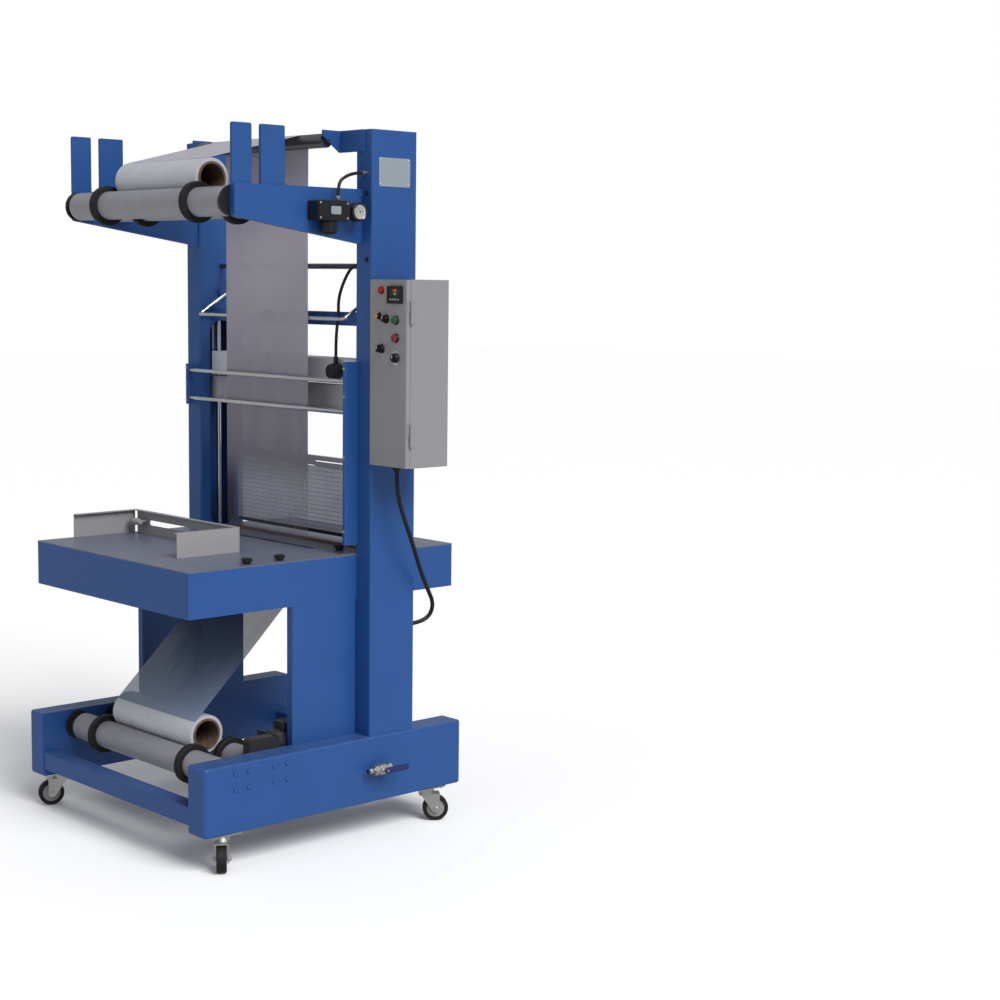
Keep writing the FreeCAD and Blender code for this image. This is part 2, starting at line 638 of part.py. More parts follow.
# Table: a folded skirt with an inward lip, ribs, saddles for the lower jaw and the film bar.
def table_frame():
    frame = part_body("table_skirt")
    outline = rectangle("-table_half", "table_half", "table_front", "table_rear")
    prism(frame, "Z", "table_bottom", deck_bottom, outline)
    softened(frame, "box_round", straight("Z"))
    inside = rectangle("-table_half + skirt_wall", "table_half - skirt_wall",
                       "table_front + skirt_wall", "table_rear - skirt_wall")
    prism(frame, "Z", "table_bottom + skirt_wall", deck_bottom, inside, cut=True)
    mouth = rectangle("-table_half + skirt_lip", "table_half - skirt_lip",
                      "table_front + skirt_lip", "table_rear - skirt_lip")
    prism(frame, "Z", "table_bottom", "table_bottom + skirt_wall", mouth, cut=True)
    rib = rectangle("table_front + rib_pitch", "table_front + rib_pitch + skirt_wall",
                    f"{deck_bottom} - rib_height", deck_bottom)
    rib_pad = prism(frame, "X", "-table_half + skirt_wall", "table_half - skirt_wall", rib)
    repeated(frame, rib_pad, "Y", "rib_pitch", 2)
    rear_rib = rectangle("table_rear - rib_pitch * 0.6", "table_rear - rib_pitch * 0.6 + skirt_wall",
                         f"{deck_bottom} - rib_height", deck_bottom)
    prism(frame, "X", "-table_half + skirt_wall", "table_half - skirt_wall", rear_rib)
    for side in SIDES.values():
        low, high = mirrored(side, "table_half - skirt_lip", "table_half - skirt_lip + 6")
        saddle = rectangle("seal_y - lower_jaw_depth / 2 - 6", "seal_y + lower_jaw_depth / 2 + 6",
                           "table_bottom", "table_height - 2 - lower_jaw_height + strip_rubber / 2")
        prism(frame, "X", low, high, saddle)
    bar_circle = disc(bar_y, bar_z, "guide_bar_radius")
    prism(frame, "X", "-table_half + skirt_wall", "table_half - skirt_wall", bar_circle)
    for side in SIDES.values():
        low, high = mirrored(side, "post_inner - panel_slack / 4", "table_half + 1")
        notch = rectangle(low, high, "post_front - panel_slack / 4", f"{post_rear} + panel_slack / 4")
        prism(frame, "Z", "table_bottom", deck_bottom, notch, cut=True)
    node("table_frame", frame)


def table_top():
    deck = part_body("table_sheet")
    outline = rectangle("-table_half", "table_half", "table_front", "table_rear")
    prism(deck, "Z", deck_bottom, "table_height", outline)
    softened(deck, "box_round", straight("Z"))
    film_gap = rectangle("-film_slot_half", "film_slot_half", "web_y - film_slot / 2", "web_y + film_slot / 2")
    prism(deck, "Z", deck_bottom, "table_height", film_gap, cut=True)
    jaw_gap = rectangle("-table_half + skirt_lip - 5", "table_half - skirt_lip + 5",
                        "seal_y - lower_jaw_depth / 2 - 1", "seal_y + lower_jaw_depth / 2 + 1")
    prism(deck, "Z", deck_bottom, "table_height", jaw_gap, cut=True)
    for side in SIDES.values():
        low, high = mirrored(side, "post_inner - panel_slack / 4", "table_half + 1")
        notch = rectangle(low, high, "post_front - panel_slack / 4", f"{post_rear} + panel_slack / 4")
        prism(deck, "Z", deck_bottom, "table_height", notch, cut=True)
    for across, along in KNOBS.values():
        prism(deck, "Z", deck_bottom, "table_height", disc(across, along, "stud_radius + fit_gap"), cut=True)
    node("table_top", deck)


KNOBS = {
    "first": ("knob_x", "knob_first_y"),
    "second": ("knob_x", "knob_second_y"),
    "third": ("knob_third_x", "knob_third_y"),
}
table_frame()
table_top()

# Lower jaw: a hollow aluminium bar on the saddles, with a silicone strip that the seal is made on.
lower_half = "(table_half - skirt_lip + 4)"
lower_top = "(table_height - strip_rubber / 2)"
lower_bottom = f"({lower_top} - lower_jaw_height + 2)"
lower_jaw = part_body("lower_jaw_bar")
prism(lower_jaw, "X", f"-{lower_half}", lower_half, rectangle(
    "seal_y - lower_jaw_depth / 2", "seal_y + lower_jaw_depth / 2", lower_bottom, lower_top))
prism(lower_jaw, "X", f"-{lower_half}", lower_half, rectangle(
    "seal_y - lower_jaw_depth / 2 + jaw_wall", "seal_y + lower_jaw_depth / 2 - jaw_wall",
    f"{lower_bottom} + jaw_wall", f"{lower_top} - 2 * jaw_wall"), cut=True)
node("lower_jaw", lower_jaw)

rubber = part_body("rubber_bar")
prism(rubber, "X", "-heater_half - 4", "heater_half + 4", rectangle(
    "seal_y - rubber_depth / 2", "seal_y + rubber_depth / 2", lower_top, f"{lower_top} + strip_rubber"))
softened(rubber, "1.5", straight("X", z=(f"{lower_top} + strip_rubber", f"{lower_top} + strip_rubber")))
node("silicone_strip", rubber)


# Arms: tapered hollow brackets on the posts that carry the upper cradle, with two upright
# plates whose gap takes the ends of a film shaft.
def arm(side):
    name = "right" if side > 0 else "left"
    bracket = part_body("arm_bracket_" + name)
    low, high = mirrored(side, arm_inner, "arm_outer")
    profile = [("arm_tip", "arm_tip_bottom"), ("post_front", "arm_root_bottom"),
               ("post_front", "arm_top"), ("arm_tip", "arm_top")]
    prism(bracket, "X", low, high, profile)
    softened(bracket, "arm_round", straight("X", y=("arm_tip", "arm_tip")))
    low, high = mirrored(side, f"{arm_inner} + arm_wall", "arm_outer - arm_wall")
    hollow = [("arm_tip + 40", "arm_tip_bottom + 4"), ("post_front - 6", "arm_root_bottom + 8"),
              ("post_front - 6", "arm_top - 6"), ("arm_tip + 40", "arm_top - 6")]
    prism(bracket, "X", low, high, hollow, cut=True)
    low, high = mirrored(side, f"{fork_middle} - fork_thick / 2", f"{fork_middle} + fork_thick / 2")
    fork_top = "(arm_top + fork_height)"
    front = (f"{top_roll_y} - fork_slot / 2 - fork_front_width", f"{top_roll_y} - fork_slot / 2")
    rear = (f"{top_roll_y} + fork_slot / 2", f"{top_roll_y} + fork_slot / 2 + fork_rear_width")
    for start, end in (front, rear):
        prism(bracket, "X", low, high, rectangle(start, end, "arm_top - 4", fork_top))
    softened(bracket, "fork_round", straight("X", z=(fork_top, fork_top)))
    node("arm_" + name, bracket)


for side in SIDES.values():
    arm(side)


# Rollers: steel tubes with turned end plugs on a through shaft, and two rubber collars that
# keep the film roll between them. They turn in flanged bearings on the arms and beams.
def bearing(name, side, mount, along, height):
    housing = part_body("bearing_" + name)
    low, high = mirrored(side, f"({mount}) - bearing_thick", mount)
    face, back = (low, high) if side > 0 else (high, low)
    toward = "+" if side > 0 else "-"
    bore = "(shaft_radius + fit_gap)"
    profile = [(back, bore), (back, "bearing_radius"), (f"{face} {toward} 8", "bearing_radius"),
               (f"{face} {toward} 5", "bearing_radius * 0.62"), (f"{face}", "bearing_radius * 0.55"), (face, bore)]
    turned(housing, "X", (along, height), profile)
    return housing


def roller(label, mount, end_room, along, height):
    half = f"({mount} - {end_room} - roller_end_gap)"
    tip = f"({mount} - 0.5)"
    tube = part_body("roller_" + label)
    profile = [
        (f"-{tip}", "0"), (f"-{tip}", "shaft_radius"), (f"-{half}", "shaft_radius"),
        (f"-{half}", "roller_radius - 1"), (f"-{half} + 1", "roller_radius"), (f"{half} - 1", "roller_radius"),
        (half, "roller_radius - 1"), (half, "shaft_radius"), (tip, "shaft_radius"), (tip, "0"),
    ]
    turned(tube, "X", (along, height), profile)
    cavity = [
        (f"-{half} + roller_plug", "shaft_radius"), (f"-{half} + roller_plug", "roller_radius - roller_wall"),
        (f"{half} - roller_plug", "roller_radius - roller_wall"), (f"{half} - roller_plug", "shaft_radius"),
    ]
    turned(tube, "X", (along, height), cavity, cut=True)
    collars = []
    for side in SIDES.values():
        ring = part_body("collar_" + label + ("_right" if side > 0 else "_left"))
        low, high = mirrored(side, "collar_x - collar_thick / 2", "collar_x + collar_thick / 2")
        turned(ring, "X", (along, height), [
            (low, "roller_radius"), (low, "collar_radius - 2"), (f"{low} + 2", "collar_radius"),
            (f"{high} - 2", "collar_radius"), (high, "collar_radius - 2"), (high, "roller_radius"),
        ])
        collars.append(ring)
    return node(label, tube, *collars)


ROLLERS = {
    "top_front_roller": (arm_inner, "bearing_thick", "top_front_y", "top_roller_z"),
    "top_rear_roller": (arm_inner, "bearing_thick", "top_front_y + 2 * half_gap", "top_roller_z"),
    "base_front_roller": (beam_inner, "gearbox_thick", "base_front_y", "base_roller_z"),
    "base_rear_roller": (beam_inner, "gearbox_thick", "base_front_y + 2 * half_gap", "base_roller_z"),
}
housings = []
for label, (mount, end_room, along, height) in ROLLERS.items():
    roller(label, mount, end_room, along, height)
    for name, side in SIDES.items():
        if (label, name) != ("base_rear_roller", "right"):
            housings.append(bearing(label + "_" + name, side, mount, along, height))
node("roller_bearings", *housings)


# Film rolls: film wound on a cardboard core that stands out a little at both ends.
def film_roll(label, along, height):
    core = part_body("core_" + label)
    core_outer = "(core_bore + core_wall)"
    turned(core, "X", (along, height), [
        ("-film_half - 3", "core_bore"), ("-film_half - 3", core_outer),
        ("film_half + 3", core_outer), ("film_half + 3", "core_bore"),
    ])
    wound = part_body("film_" + label)
    turned(wound, "X", (along, height), [
        ("-film_half", core_outer), ("-film_half", "film_roll_radius"),
        ("film_half", "film_roll_radius"), ("film_half", core_outer),
    ])
    node(label, core, wound)


film_roll("top_film_roll", top_roll_y, top_roll_z)
film_roll("base_film_roll", base_roll_y, base_roll_z)

# Idler at the head of the posts: the upper film turns over it and hangs down from there.
idler = part_body("idler_tube")
idler_tip = "(idler_half + roller_end_gap + idler_plate)"
turned(idler, "X", (idler_y, "idler_z"), [
    (f"-{idler_tip}", "0"), (f"-{idler_tip}", "idler_shaft"), ("-idler_half", "idler_shaft"),
    ("-idler_half", "idler_radius"), ("idler_half", "idler_radius"), ("idler_half", "idler_shaft"),
    (idler_tip, "idler_shaft"), (idler_tip, "0"),
])
turned(idler, "X", (idler_y, "idler_z"), [
    ("-idler_half + 8", "idler_shaft"), ("-idler_half + 8", "idler_radius - 2"),
    ("idler_half - 8", "idler_radius - 2"), ("idler_half - 8", "idler_shaft"),
], cut=True)
node("top_idler", idler)


# Film guards on the posts: brackets for the idler, side strips and two polished rods ahead of
# the film.
def idler_bracket(side):
    bracket = part_body("idler_bracket_" + ("right" if side > 0 else "left"))
    inner = "(idler_half + roller_end_gap)"
    foot = "(post_inner + 40)"
    corners = [
        (inner, "post_front - idler_reach"), (f"{inner} + idler_plate", "post_front - idler_reach"),
        (f"{inner} + idler_plate", "post_front - idler_plate"), (foot, "post_front - idler_plate"),
        (foot, "post_front"), (inner, "post_front"),
    ]
    placed = [(on_side(side, across), along) for across, along in corners]
    prism(bracket, "Z", "post_top - idler_ear", "post_top", placed)
    low, high = mirrored(side, inner, f"{inner} + idler_plate")
    taper = [("post_front - idler_reach", "post_top - idler_ear"),
             ("post_front - idler_plate", "post_top - idler_ear"),
             ("post_front - idler_reach", "post_top - idler_ear + 44")]
    prism(bracket, "X", low, high, taper, cut=True)
    prism(bracket, "X", low, high, disc(idler_y, "idler_z", "idler_shaft + fit_gap"), cut=True)
    return bracket


def guard_strip(side, bottom, top):
    strip = part_body("guard_strip_" + ("right" if side > 0 else "left"))
    low, high = mirrored(side, "post_inner", "post_inner + strip_width")
    prism(strip, "Z", bottom, top, rectangle(low, high, "post_front - strip_depth", "post_front"))
    softened(strip, "3", straight("Z", y=("post_front - strip_depth", "post_front - strip_depth")))
    return strip


node(
    "film_guards",
    idler_bracket(1),
    idler_bracket(-1),
    guard_strip(1, "strip_bottom", "strip_top"),
    guard_strip(-1, "rod_lower_z - strip_lap", "rod_upper_z + strip_lap"),
    rod("upper_rod", "X", "-post_inner", "post_inner", ("rod_y", "rod_upper_z"), "rod_radius"),
    rod("lower_rod", "X", "-post_inner", "post_inner", ("rod_y", "rod_lower_z"), "rod_radius"),
)

# Cross members between the posts: a flat tube, a tie rod and the bosses that the bail hangs in.
member = part_body("cross_member")
member_rear = "(member_front + member_depth)"
member_top = "(member_bottom + member_height)"
prism(member, "X", "-post_inner", "post_inner", rectangle("member_front", member_rear, "member_bottom", member_top))
softened(member, "3", straight("X"))
prism(member, "X", "-post_inner", "post_inner", rectangle(
    "member_front + member_wall", f"{member_rear} - member_wall",
    "member_bottom + member_wall", f"{member_top} - member_wall"), cut=True)


def bail_boss(side):
    boss = part_body("bail_boss_" + ("right" if side > 0 else "left"))
    low, high = mirrored(side, "post_inner - boss_thick", "post_inner")
    prism(boss, "X", low, high, disc("seal_y", "bail_pivot_z", "boss_radius"))
    prism(boss, "X", low, high, disc("seal_y", "bail_pivot_z", "bail_radius + fit_gap"), cut=True)
    return boss


node(
    "cross_members",
    member,
    rod("tie_rod", "X", "-post_inner", "post_inner", ("seal_y", "tie_z"), "tie_radius"),
    bail_boss(1),
    bail_boss(-1),
)


# Sealing jaw: a fixed cover with the quick exhaust valve, a lift unit inside each post, and
# the moving jaw with its end blocks, piston rods and heater bar.
cover = part_body("jaw_cover_channel")
cover_front = "(seal_y - cover_depth / 2)"
cover_rear = "(seal_y + cover_depth / 2)"
prism(cover, "X", "-post_inner", "post_inner", [
    (cover_front, "cover_bottom"), (cover_front, cover_top), (cover_rear, cover_top), (cover_rear, "cover_bottom"),
    (f"{cover_rear} - cover_wall", "cover_bottom"), (f"{cover_rear} - cover_wall", f"{cover_top} - cover_wall"),
    (f"{cover_front} + cover_wall", f"{cover_top} - cover_wall"), (f"{cover_front} + cover_wall", "cover_bottom"),
])
softened(cover, "cover_wall", straight("X", z=(cover_top, cover_top)))
node("jaw_cover", cover)

valve = part_body("exhaust_valve")
valve_x, valve_mid = "(post_inner - 125)", "(cover_bottom + cover_height / 2)"
turned(valve, "Y", (valve_x, valve_mid), [
    (cover_front, "0"), (cover_front, "16"), (f"{cover_front} - 6", "16"), (f"{cover_front} - 6", "23"),
    (f"{cover_front} - 30", "23"), (f"{cover_front} - 33", "20"), (f"{cover_front} - 38", "20"),
    (f"{cover_front} - 38", "0"),
])
fitting_y = f"({cover_front} - 16)"
prism(valve, "Z", valve_mid, f"{cover_top} + 6", disc(valve_x, fitting_y, "7"))
node("jaw_valve", valve)


def lift_unit(side):
    """A cylinder above, a guide shaft beside its rod, and the two plates that hold them."""
    name = "right" if side > 0 else "left"
    lift, guide = on_side(side, "lift_x"), on_side(side, "guide_x")
    low, high = mirrored(side, "post_inner + post_wall + running_gap", f"{post_outer} - post_wall - running_gap")
    front, rear = "(seal_y - block_depth / 2 - 6)", "(seal_y + block_depth / 2 + 6)"
    cylinder = part_body("cylinder_" + name)
    top = "(lift_bottom + lift_length)"
    prism(cylinder, "Z", "lift_bottom - carrier_plate", "lift_bottom", rectangle(low, high, front, rear))
    turned(cylinder, "Z", (lift, "seal_y"), [
        ("lift_bottom", "piston_radius + fit_gap"), ("lift_bottom", "lift_radius"),
        (top, "lift_radius"), (top, "0"), (f"{top} - lift_cap", "0"), (f"{top} - lift_cap", "lift_bore"),
        ("lift_bottom + lift_cap", "lift_bore"), ("lift_bottom + lift_cap", "piston_radius + fit_gap"),
    ])
    rod_hole = disc(lift, "seal_y", "piston_radius + fit_gap")
    prism(cylinder, "Z", "lift_bottom - carrier_plate", "lift_bottom", rod_hole, cut=True)
    shaft_top = "lift_bottom - carrier_plate"
    shaft = rod("guide_shaft_" + name, "Z", "shaft_bottom", shaft_top, (guide, "seal_y"), "guide_radius")
    foot = part_body("guide_foot_" + name)
    prism(foot, "Z", "shaft_bottom - carrier_plate", "shaft_bottom", rectangle(low, high, front, rear))
    return cylinder, shaft, foot


node("lift_units", *lift_unit(1), *lift_unit(-1))

jaw = part_body("jaw_channel")
jaw_front, jaw_rear = "(seal_y - jaw_depth / 2)", "(seal_y + jaw_depth / 2)"
block_inner, block_outer = "(post_inner - 14)", f"({post_outer} - post_wall - 3)"
prism(jaw, "X", f"-{block_inner}", block_inner, [
    (jaw_front, jaw_bottom), (jaw_front, "jaw_top"), (jaw_rear, "jaw_top"), (jaw_rear, jaw_bottom),
    (f"{jaw_rear} - jaw_wall", jaw_bottom), (f"{jaw_rear} - jaw_wall", "jaw_top - jaw_wall"),
    (f"{jaw_front} + jaw_wall", "jaw_top - jaw_wall"), (f"{jaw_front} + jaw_wall", jaw_bottom),
])
for side in SIDES.values():
    low, high = mirrored(side, block_inner, block_outer)
    face = rectangle("seal_y - block_depth / 2", "seal_y + block_depth / 2", "jaw_top - block_height", "jaw_top")
    prism(jaw, "X", low, high, face)
    guide_hole = disc(on_side(side, "guide_x"), "seal_y", "guide_radius + fit_gap")
    prism(jaw, "Z", "jaw_top - block_height - 1", "jaw_top + 1", guide_hole, cut=True)
for side in SIDES.values():
    piston_low = f"(lift_bottom + lift_cap + {jaw_stroke} + 2)"
    turned(jaw, "Z", (on_side(side, "lift_x"), "seal_y"), [
        ("jaw_top - 4", "0"), ("jaw_top - 4", "piston_radius"), (piston_low, "piston_radius"),
        (piston_low, "lift_bore - fit_gap"), (f"{piston_low} + piston_head", "lift_bore - fit_gap"),
        (f"{piston_low} + piston_head", "0"),
    ])
node("jaw_beam", jaw)

heater = part_body("heater_profile")
heater_front, heater_rear = "(seal_y - heater_depth / 2)", "(seal_y + heater_depth / 2)"
prism(heater, "X", "-heater_half", "heater_half", [
    ("seal_y - 4", heater_bottom), (heater_front, f"{heater_bottom} + 7"), (heater_front, f"{jaw_bottom} + 10"),
    (heater_rear, f"{jaw_bottom} + 10"), (heater_rear, f"{heater_bottom} + 7"), ("seal_y + 4", heater_bottom),
])
heater_bore = disc("seal_y", f"{heater_bottom} + heater_height * 0.6", "5")
prism(heater, "X", "-heater_half", "heater_half", heater_bore, cut=True)
hanger = rectangle(jaw_front + " + jaw_wall", jaw_rear + " - jaw_wall", f"{jaw_bottom} + 4", f"{jaw_bottom} + 10")
prism(heater, "X", "-heater_half", "heater_half", hanger)
node("heater_bar", heater)

# Exit guard: a clear flap that hangs on a bar between the posts and swings out with the goods.
rail = part_body("guard_rail")
rail_bottom = "(flap_pivot_z + knuckle_radius + 4)"
prism(rail, "X", "-post_inner", "post_inner", rectangle(
    "flap_y - rail_size / 2", "flap_y + rail_size / 2", rail_bottom, f"{rail_bottom} + rail_size"))
KNUCKLES = {"right": "flap_half * 0.85", "middle": "0", "left": "-flap_half * 0.85"}
for place in KNUCKLES.values():
    lug = rectangle("flap_y - knuckle_radius * 0.6", "flap_y + knuckle_radius * 0.6", "flap_pivot_z", rail_bottom)
    prism(rail, "X", f"({place}) - 20", f"({place}) + 20", lug)
    prism(rail, "X", f"({place}) - 20", f"({place}) + 20", disc("flap_y", "flap_pivot_z", "knuckle_radius"))
prism(rail, "X", "-flap_half", "flap_half", disc("flap_y", "flap_pivot_z", "flap_pin"))
node("exit_rail", rail)

flap = part_body("guard_flap")
flap_bottom = "(table_height + flap_bottom_gap)"
prism(flap, "X", "-flap_half", "flap_half", rectangle(
    "flap_y - flap_thick / 2", "flap_y + flap_thick / 2", flap_bottom, "flap_pivot_z - flap_pin"))
prism(flap, "X", "-flap_half", "flap_half", disc("flap_y", "flap_pivot_z", "knuckle_radius"))
prism(flap, "X", "-flap_half", "flap_half", rectangle(
    "flap_y - flap_thick / 2 - 2", "flap_y + flap_thick / 2 + 2", flap_bottom, f"{flap_bottom} + flap_edge"))
prism(flap, "X", "-flap_half - 1", "flap_half + 1", disc("flap_y", "flap_pivot_z", "flap_pin + fit_gap"), cut=True)
for place in KNUCKLES.values():
    window = rectangle("flap_y - knuckle_radius - 2", "flap_y + knuckle_radius + 2",
                       "flap_pivot_z - knuckle_radius - 2", "flap_pivot_z + knuckle_radius + 2")
    prism(flap, "X", f"({place}) - 20 - running_gap", f"({place}) + 20 + running_gap", window, cut=True)
node("exit_flap", flap)


# Pusher: a folded steel fence, open towards the operator, with a grip on its cross wall.
def pusher():
    fence = part_body("pusher_fence")
    low, high = "(table_height + running_gap)", "(table_height + running_gap + pusher_height)"
    prism(fence, "Z", low, high, rectangle("pusher_left", "pusher_right", "pusher_front", "pusher_rear"))
    softened(fence, "pusher_round", straight("Z", y=("pusher_rear", "pusher_rear")))
    inside = rectangle("pusher_left + pusher_sheet", "pusher_right - pusher_sheet",
                       "pusher_front - 1", "pusher_rear - pusher_sheet")
    hollow = prism(fence, "Z", low, f"{high} - pusher_sheet", inside, cut=True)
    mouth = rectangle("pusher_left + pusher_flange", "pusher_right - pusher_flange",
                      "pusher_front - 1", "pusher_rear - pusher_flange")
    prism(fence, "Z", f"{high} - pusher_sheet", high, mouth, cut=True)
    finger = slot("pusher_left + finger_place", f"{low} + pusher_height * 0.5", "finger_half", "finger_radius")
    prism(fence, "Y", "pusher_rear - 2 * pusher_sheet", "pusher_rear + 1", finger, cut=True)
    grip = part_body("pusher_grip")
    grip_y, grip_z = "(pusher_rear - pusher_sheet - 30)", f"({low} + pusher_height * 0.55)"
    start, end = "(pusher_left + grip_place)", "(pusher_left + grip_place + grip_long)"
    turned(grip, "X", (grip_y, grip_z), [
        (start, "0"), (start, "7"), (f"{start} + 8", "9"), (f"({start} + {end}) / 2", "11"),
        (f"{end} - 8", "9"), (end, "7"), (end, "0"),
    ])
    for place in (f"{start} + 10", f"{end} - 10"):
        prism(grip, "Y", grip_y, "pusher_rear - pusher_sheet", disc(place, grip_z, "5"))
    node("pusher", fence, grip)


pusher()


# Table knobs: moulded lobed heads on studs that pass through the deck into a nut below it.
def table_knob(label, across, along):
    knob = part_body("knob_" + label)
    foot = "(table_height + running_gap)"
    top = f"({foot} + knob_height)"
    turned(knob, "Z", (across, along), [
        (f"{deck_bottom} - 12", "0"), (f"{deck_bottom} - 12", "stud_radius"), (foot, "stud_radius"),
        (foot, "knob_radius * 0.7"), (f"{foot} + 5", "knob_radius * 0.7"), (f"{foot} + 6", "knob_radius"),
        (f"{top} - 2", "knob_radius"), (top, "knob_radius - 3"), (top, "0"),
    ])
    for number in range(6):
        turn = math.radians(60 * number)
        spot_x = f"{across} + knob_radius * {1.22 * math.cos(turn):.4f}"
        spot_y = f"{along} + knob_radius * {1.22 * math.sin(turn):.4f}"
        prism(knob, "Z", f"{foot} + 5.5", f"{top} + 1", disc(spot_x, spot_y, "knob_radius * 0.36"), cut=True)
    node("knob_" + label, knob)


for label, (across, along) in KNOBS.items():
    table_knob(label, across, along)


# Control box on the right post: a folded shell, its mounting plate and a hinged front door.
def hinge_half(owner, bottom, leaf_front, leaf_rear, bore=None):
    top = f"({bottom}) + hinge_length"
    leaf = rectangle(box_outer, f"{box_outer} + hinge_leaf", leaf_front, leaf_rear)
    prism(owner, "Z", bottom, top, leaf)
    neck = rectangle(box_outer, hinge_x, f"{hinge_y} - hinge_leaf / 2", f"{hinge_y} + hinge_leaf / 2")
    prism(owner, "Z", bottom, top, neck)
    prism(owner, "Z", bottom, top, disc(hinge_x, hinge_y, "hinge_radius"))
    if bore:
        prism(owner, "Z", f"{bottom} - 1", f"{top} + 1", disc(hinge_x, hinge_y, bore), cut=True)


HINGES = {"lower": "(box_bottom + hinge_inset)", "upper": f"({box_top} - hinge_inset - 2 * hinge_length)"}
shell = part_body("box_shell")
prism(shell, "Z", "box_bottom", box_top, rectangle(post_outer, box_outer, "box_front", box_rear))
softened(shell, "box_round", straight("Z", y=(box_rear, box_rear)))
prism(shell, "Y", "box_front", f"{box_rear} - box_wall", rectangle(
    f"{post_outer} + box_wall", f"{box_outer} - box_wall",
    "box_bottom + box_wall", f"{box_top} - box_wall"), cut=True)
gland_x, gland_y = f"({post_outer} + box_depth * 0.4)", "(box_front + 34)"
prism(shell, "Z", "box_bottom - 1", "box_bottom + box_wall + 1", disc(gland_x, gland_y, "8"), cut=True)
for low in HINGES.values():
    hinge_half(shell, low, "box_front", "box_front + 20")
    prism(shell, "Z", low, f"{low} + 2 * hinge_length", disc(hinge_x, hinge_y, "hinge_pin"))
gland = part_body("cable_gland")
turned(gland, "Z", (gland_x, gland_y), [
    ("box_bottom + box_wall + 5", "6"), ("box_bottom + box_wall + 5", "11"), ("box_bottom + box_wall", "11"),
    ("box_bottom + box_wall", "8"), ("box_bottom", "8"), ("box_bottom", "12"), ("box_bottom - 8", "12"),
    ("box_bottom - 16", "9"), ("box_bottom - 16", "6"),
])
node("control_box", shell, gland)

plate_rear = f"({box_rear} - box_wall - 6)"
backing = part_body("mounting_plate")
prism(backing, "Y", f"{plate_rear} - 2", plate_rear, rectangle(
    f"{post_outer} + 14", f"{box_outer} - 14", "box_bottom + 26", f"{box_top} - 26"))
for across in (f"{post_outer} + 24", f"{box_outer} - 24"):
    for up in ("box_bottom + 40", f"{box_top} - 40"):
        prism(backing, "Y", plate_rear, f"{box_rear} - box_wall", disc(across, up, "5"))
module_rear = f"({plate_rear} - 2 - 8)"
RAILS = {"upper": "(box_bottom + upper_rail_rise)", "lower": "(box_bottom + lower_rail_rise)"}
modules = []
for name, height in RAILS.items():
    rail_strip = part_body("din_rail_" + name)
    prism(rail_strip, "X", f"{post_outer} + 20", f"{box_outer} - 20", [
        (f"{plate_rear} - 2", f"{height} - 13"), (f"{plate_rear} - 2", f"{height} + 13"),
        (f"{plate_rear} - 3", f"{height} + 13"), (f"{plate_rear} - 8", f"{height} + 17"),
        (f"{module_rear}", f"{height} + 17"), (f"{module_rear}", f"{height} - 17"),
        (f"{plate_rear} - 8", f"{height} - 17"), (f"{plate_rear} - 3", f"{height} - 13"),
    ])
    modules.append(rail_strip)
for number in range(3):
    start = f"({post_outer} + 24 + {number} * 37)"
    relay = part_body(f"relay_{number + 1}")
    prism(relay, "X", start, f"{start} + 36", [
        (f"{module_rear} - 44", f"{RAILS['upper']} - 40"), (module_rear, f"{RAILS['upper']} - 40"),
        (module_rear, f"{RAILS['upper']} + 40"), (f"{module_rear} - 44", f"{RAILS['upper']} + 40"),
        (f"{module_rear} - 44", f"{RAILS['upper']} + 24"), (f"{module_rear} - 56", f"{RAILS['upper']} + 24"),
        (f"{module_rear} - 56", f"{RAILS['upper']} - 24"), (f"{module_rear} - 44", f"{RAILS['upper']} - 24"),
    ])
    modules.append(relay)
for number in range(8):
    start = f"({post_outer} + 24 + {number} * 14)"
    low_z, high_z = f"{RAILS['lower']} - 26", f"{RAILS['lower']} + 26"
    front = f"{module_rear} - 38"
    modules.append(block(f"terminal_{number + 1}", start, f"{start} + 12", front, module_rear, low_z, high_z))
modules.append(block("transformer", f"{post_outer} + 34", f"{box_outer} - 34", f"{plate_rear} - 2 - 66",
                     f"{plate_rear} - 2", "box_bottom + 50", "box_bottom + 138"))
node("box_internals", backing, *modules)

CONTROLS = {
    "mode_selector": (0.46, 408), "start_button": (0.72, 405), "stop_button": (0.72, 356),
    "power_selector": (0.34, 326), "timer_knob": (0.72, 302),
}


def control_place(label):
    share, rise = CONTROLS[label]
    return f"({post_outer} + box_depth * {share})", f"(box_bottom + {rise})"


door = part_body("door_tray")
door_low, door_high = f"{post_outer} + door_gap", f"{box_outer}"
prism(door, "Y", door_front, door_rear, rectangle(
    door_low, door_high, "box_bottom + door_gap", f"{box_top} - door_gap"))
softened(door, "3", straight("Z", y=(door_front, door_front)))
prism(door, "Y", f"{door_front} + door_sheet", door_rear, rectangle(
    f"{door_low} + door_sheet", f"{door_high} - door_sheet",
    "box_bottom + door_gap + door_sheet", f"{box_top} - door_gap - door_sheet"), cut=True)
for label in CONTROLS:
    across, up = control_place(label)
    prism(door, "Y", f"{door_front} - 1", f"{door_front} + door_sheet + 1", disc(across, up, "8"), cut=True)
for low in HINGES.values():
    hinge_half(door, f"{low} + hinge_length + running_gap", door_front + " + 3", door_rear, "hinge_pin + fit_gap")
node("box_door", door)


def bezel(label, outer, inner, depth):
    """A ring on the door front with a sleeve through the door that guides what moves in it."""
    ring = part_body("bezel_" + label)
    turned(ring, "Y", control_place(label), [
        (door_front, "8 - fit_gap"), (door_front, outer), (f"{door_front} - {depth}", f"{outer} - 1.5"),
        (f"{door_front} - {depth}", inner), (f"{door_front} - 1", inner), (f"{door_front} - 1", "6.5"),
        (f"{door_front} + door_sheet + 6", "6.5"), (f"{door_front} + door_sheet + 6", "12"),
        (f"{door_front} + door_sheet", "12"), (f"{door_front} + door_sheet", "8 - fit_gap"),
    ])
    return ring


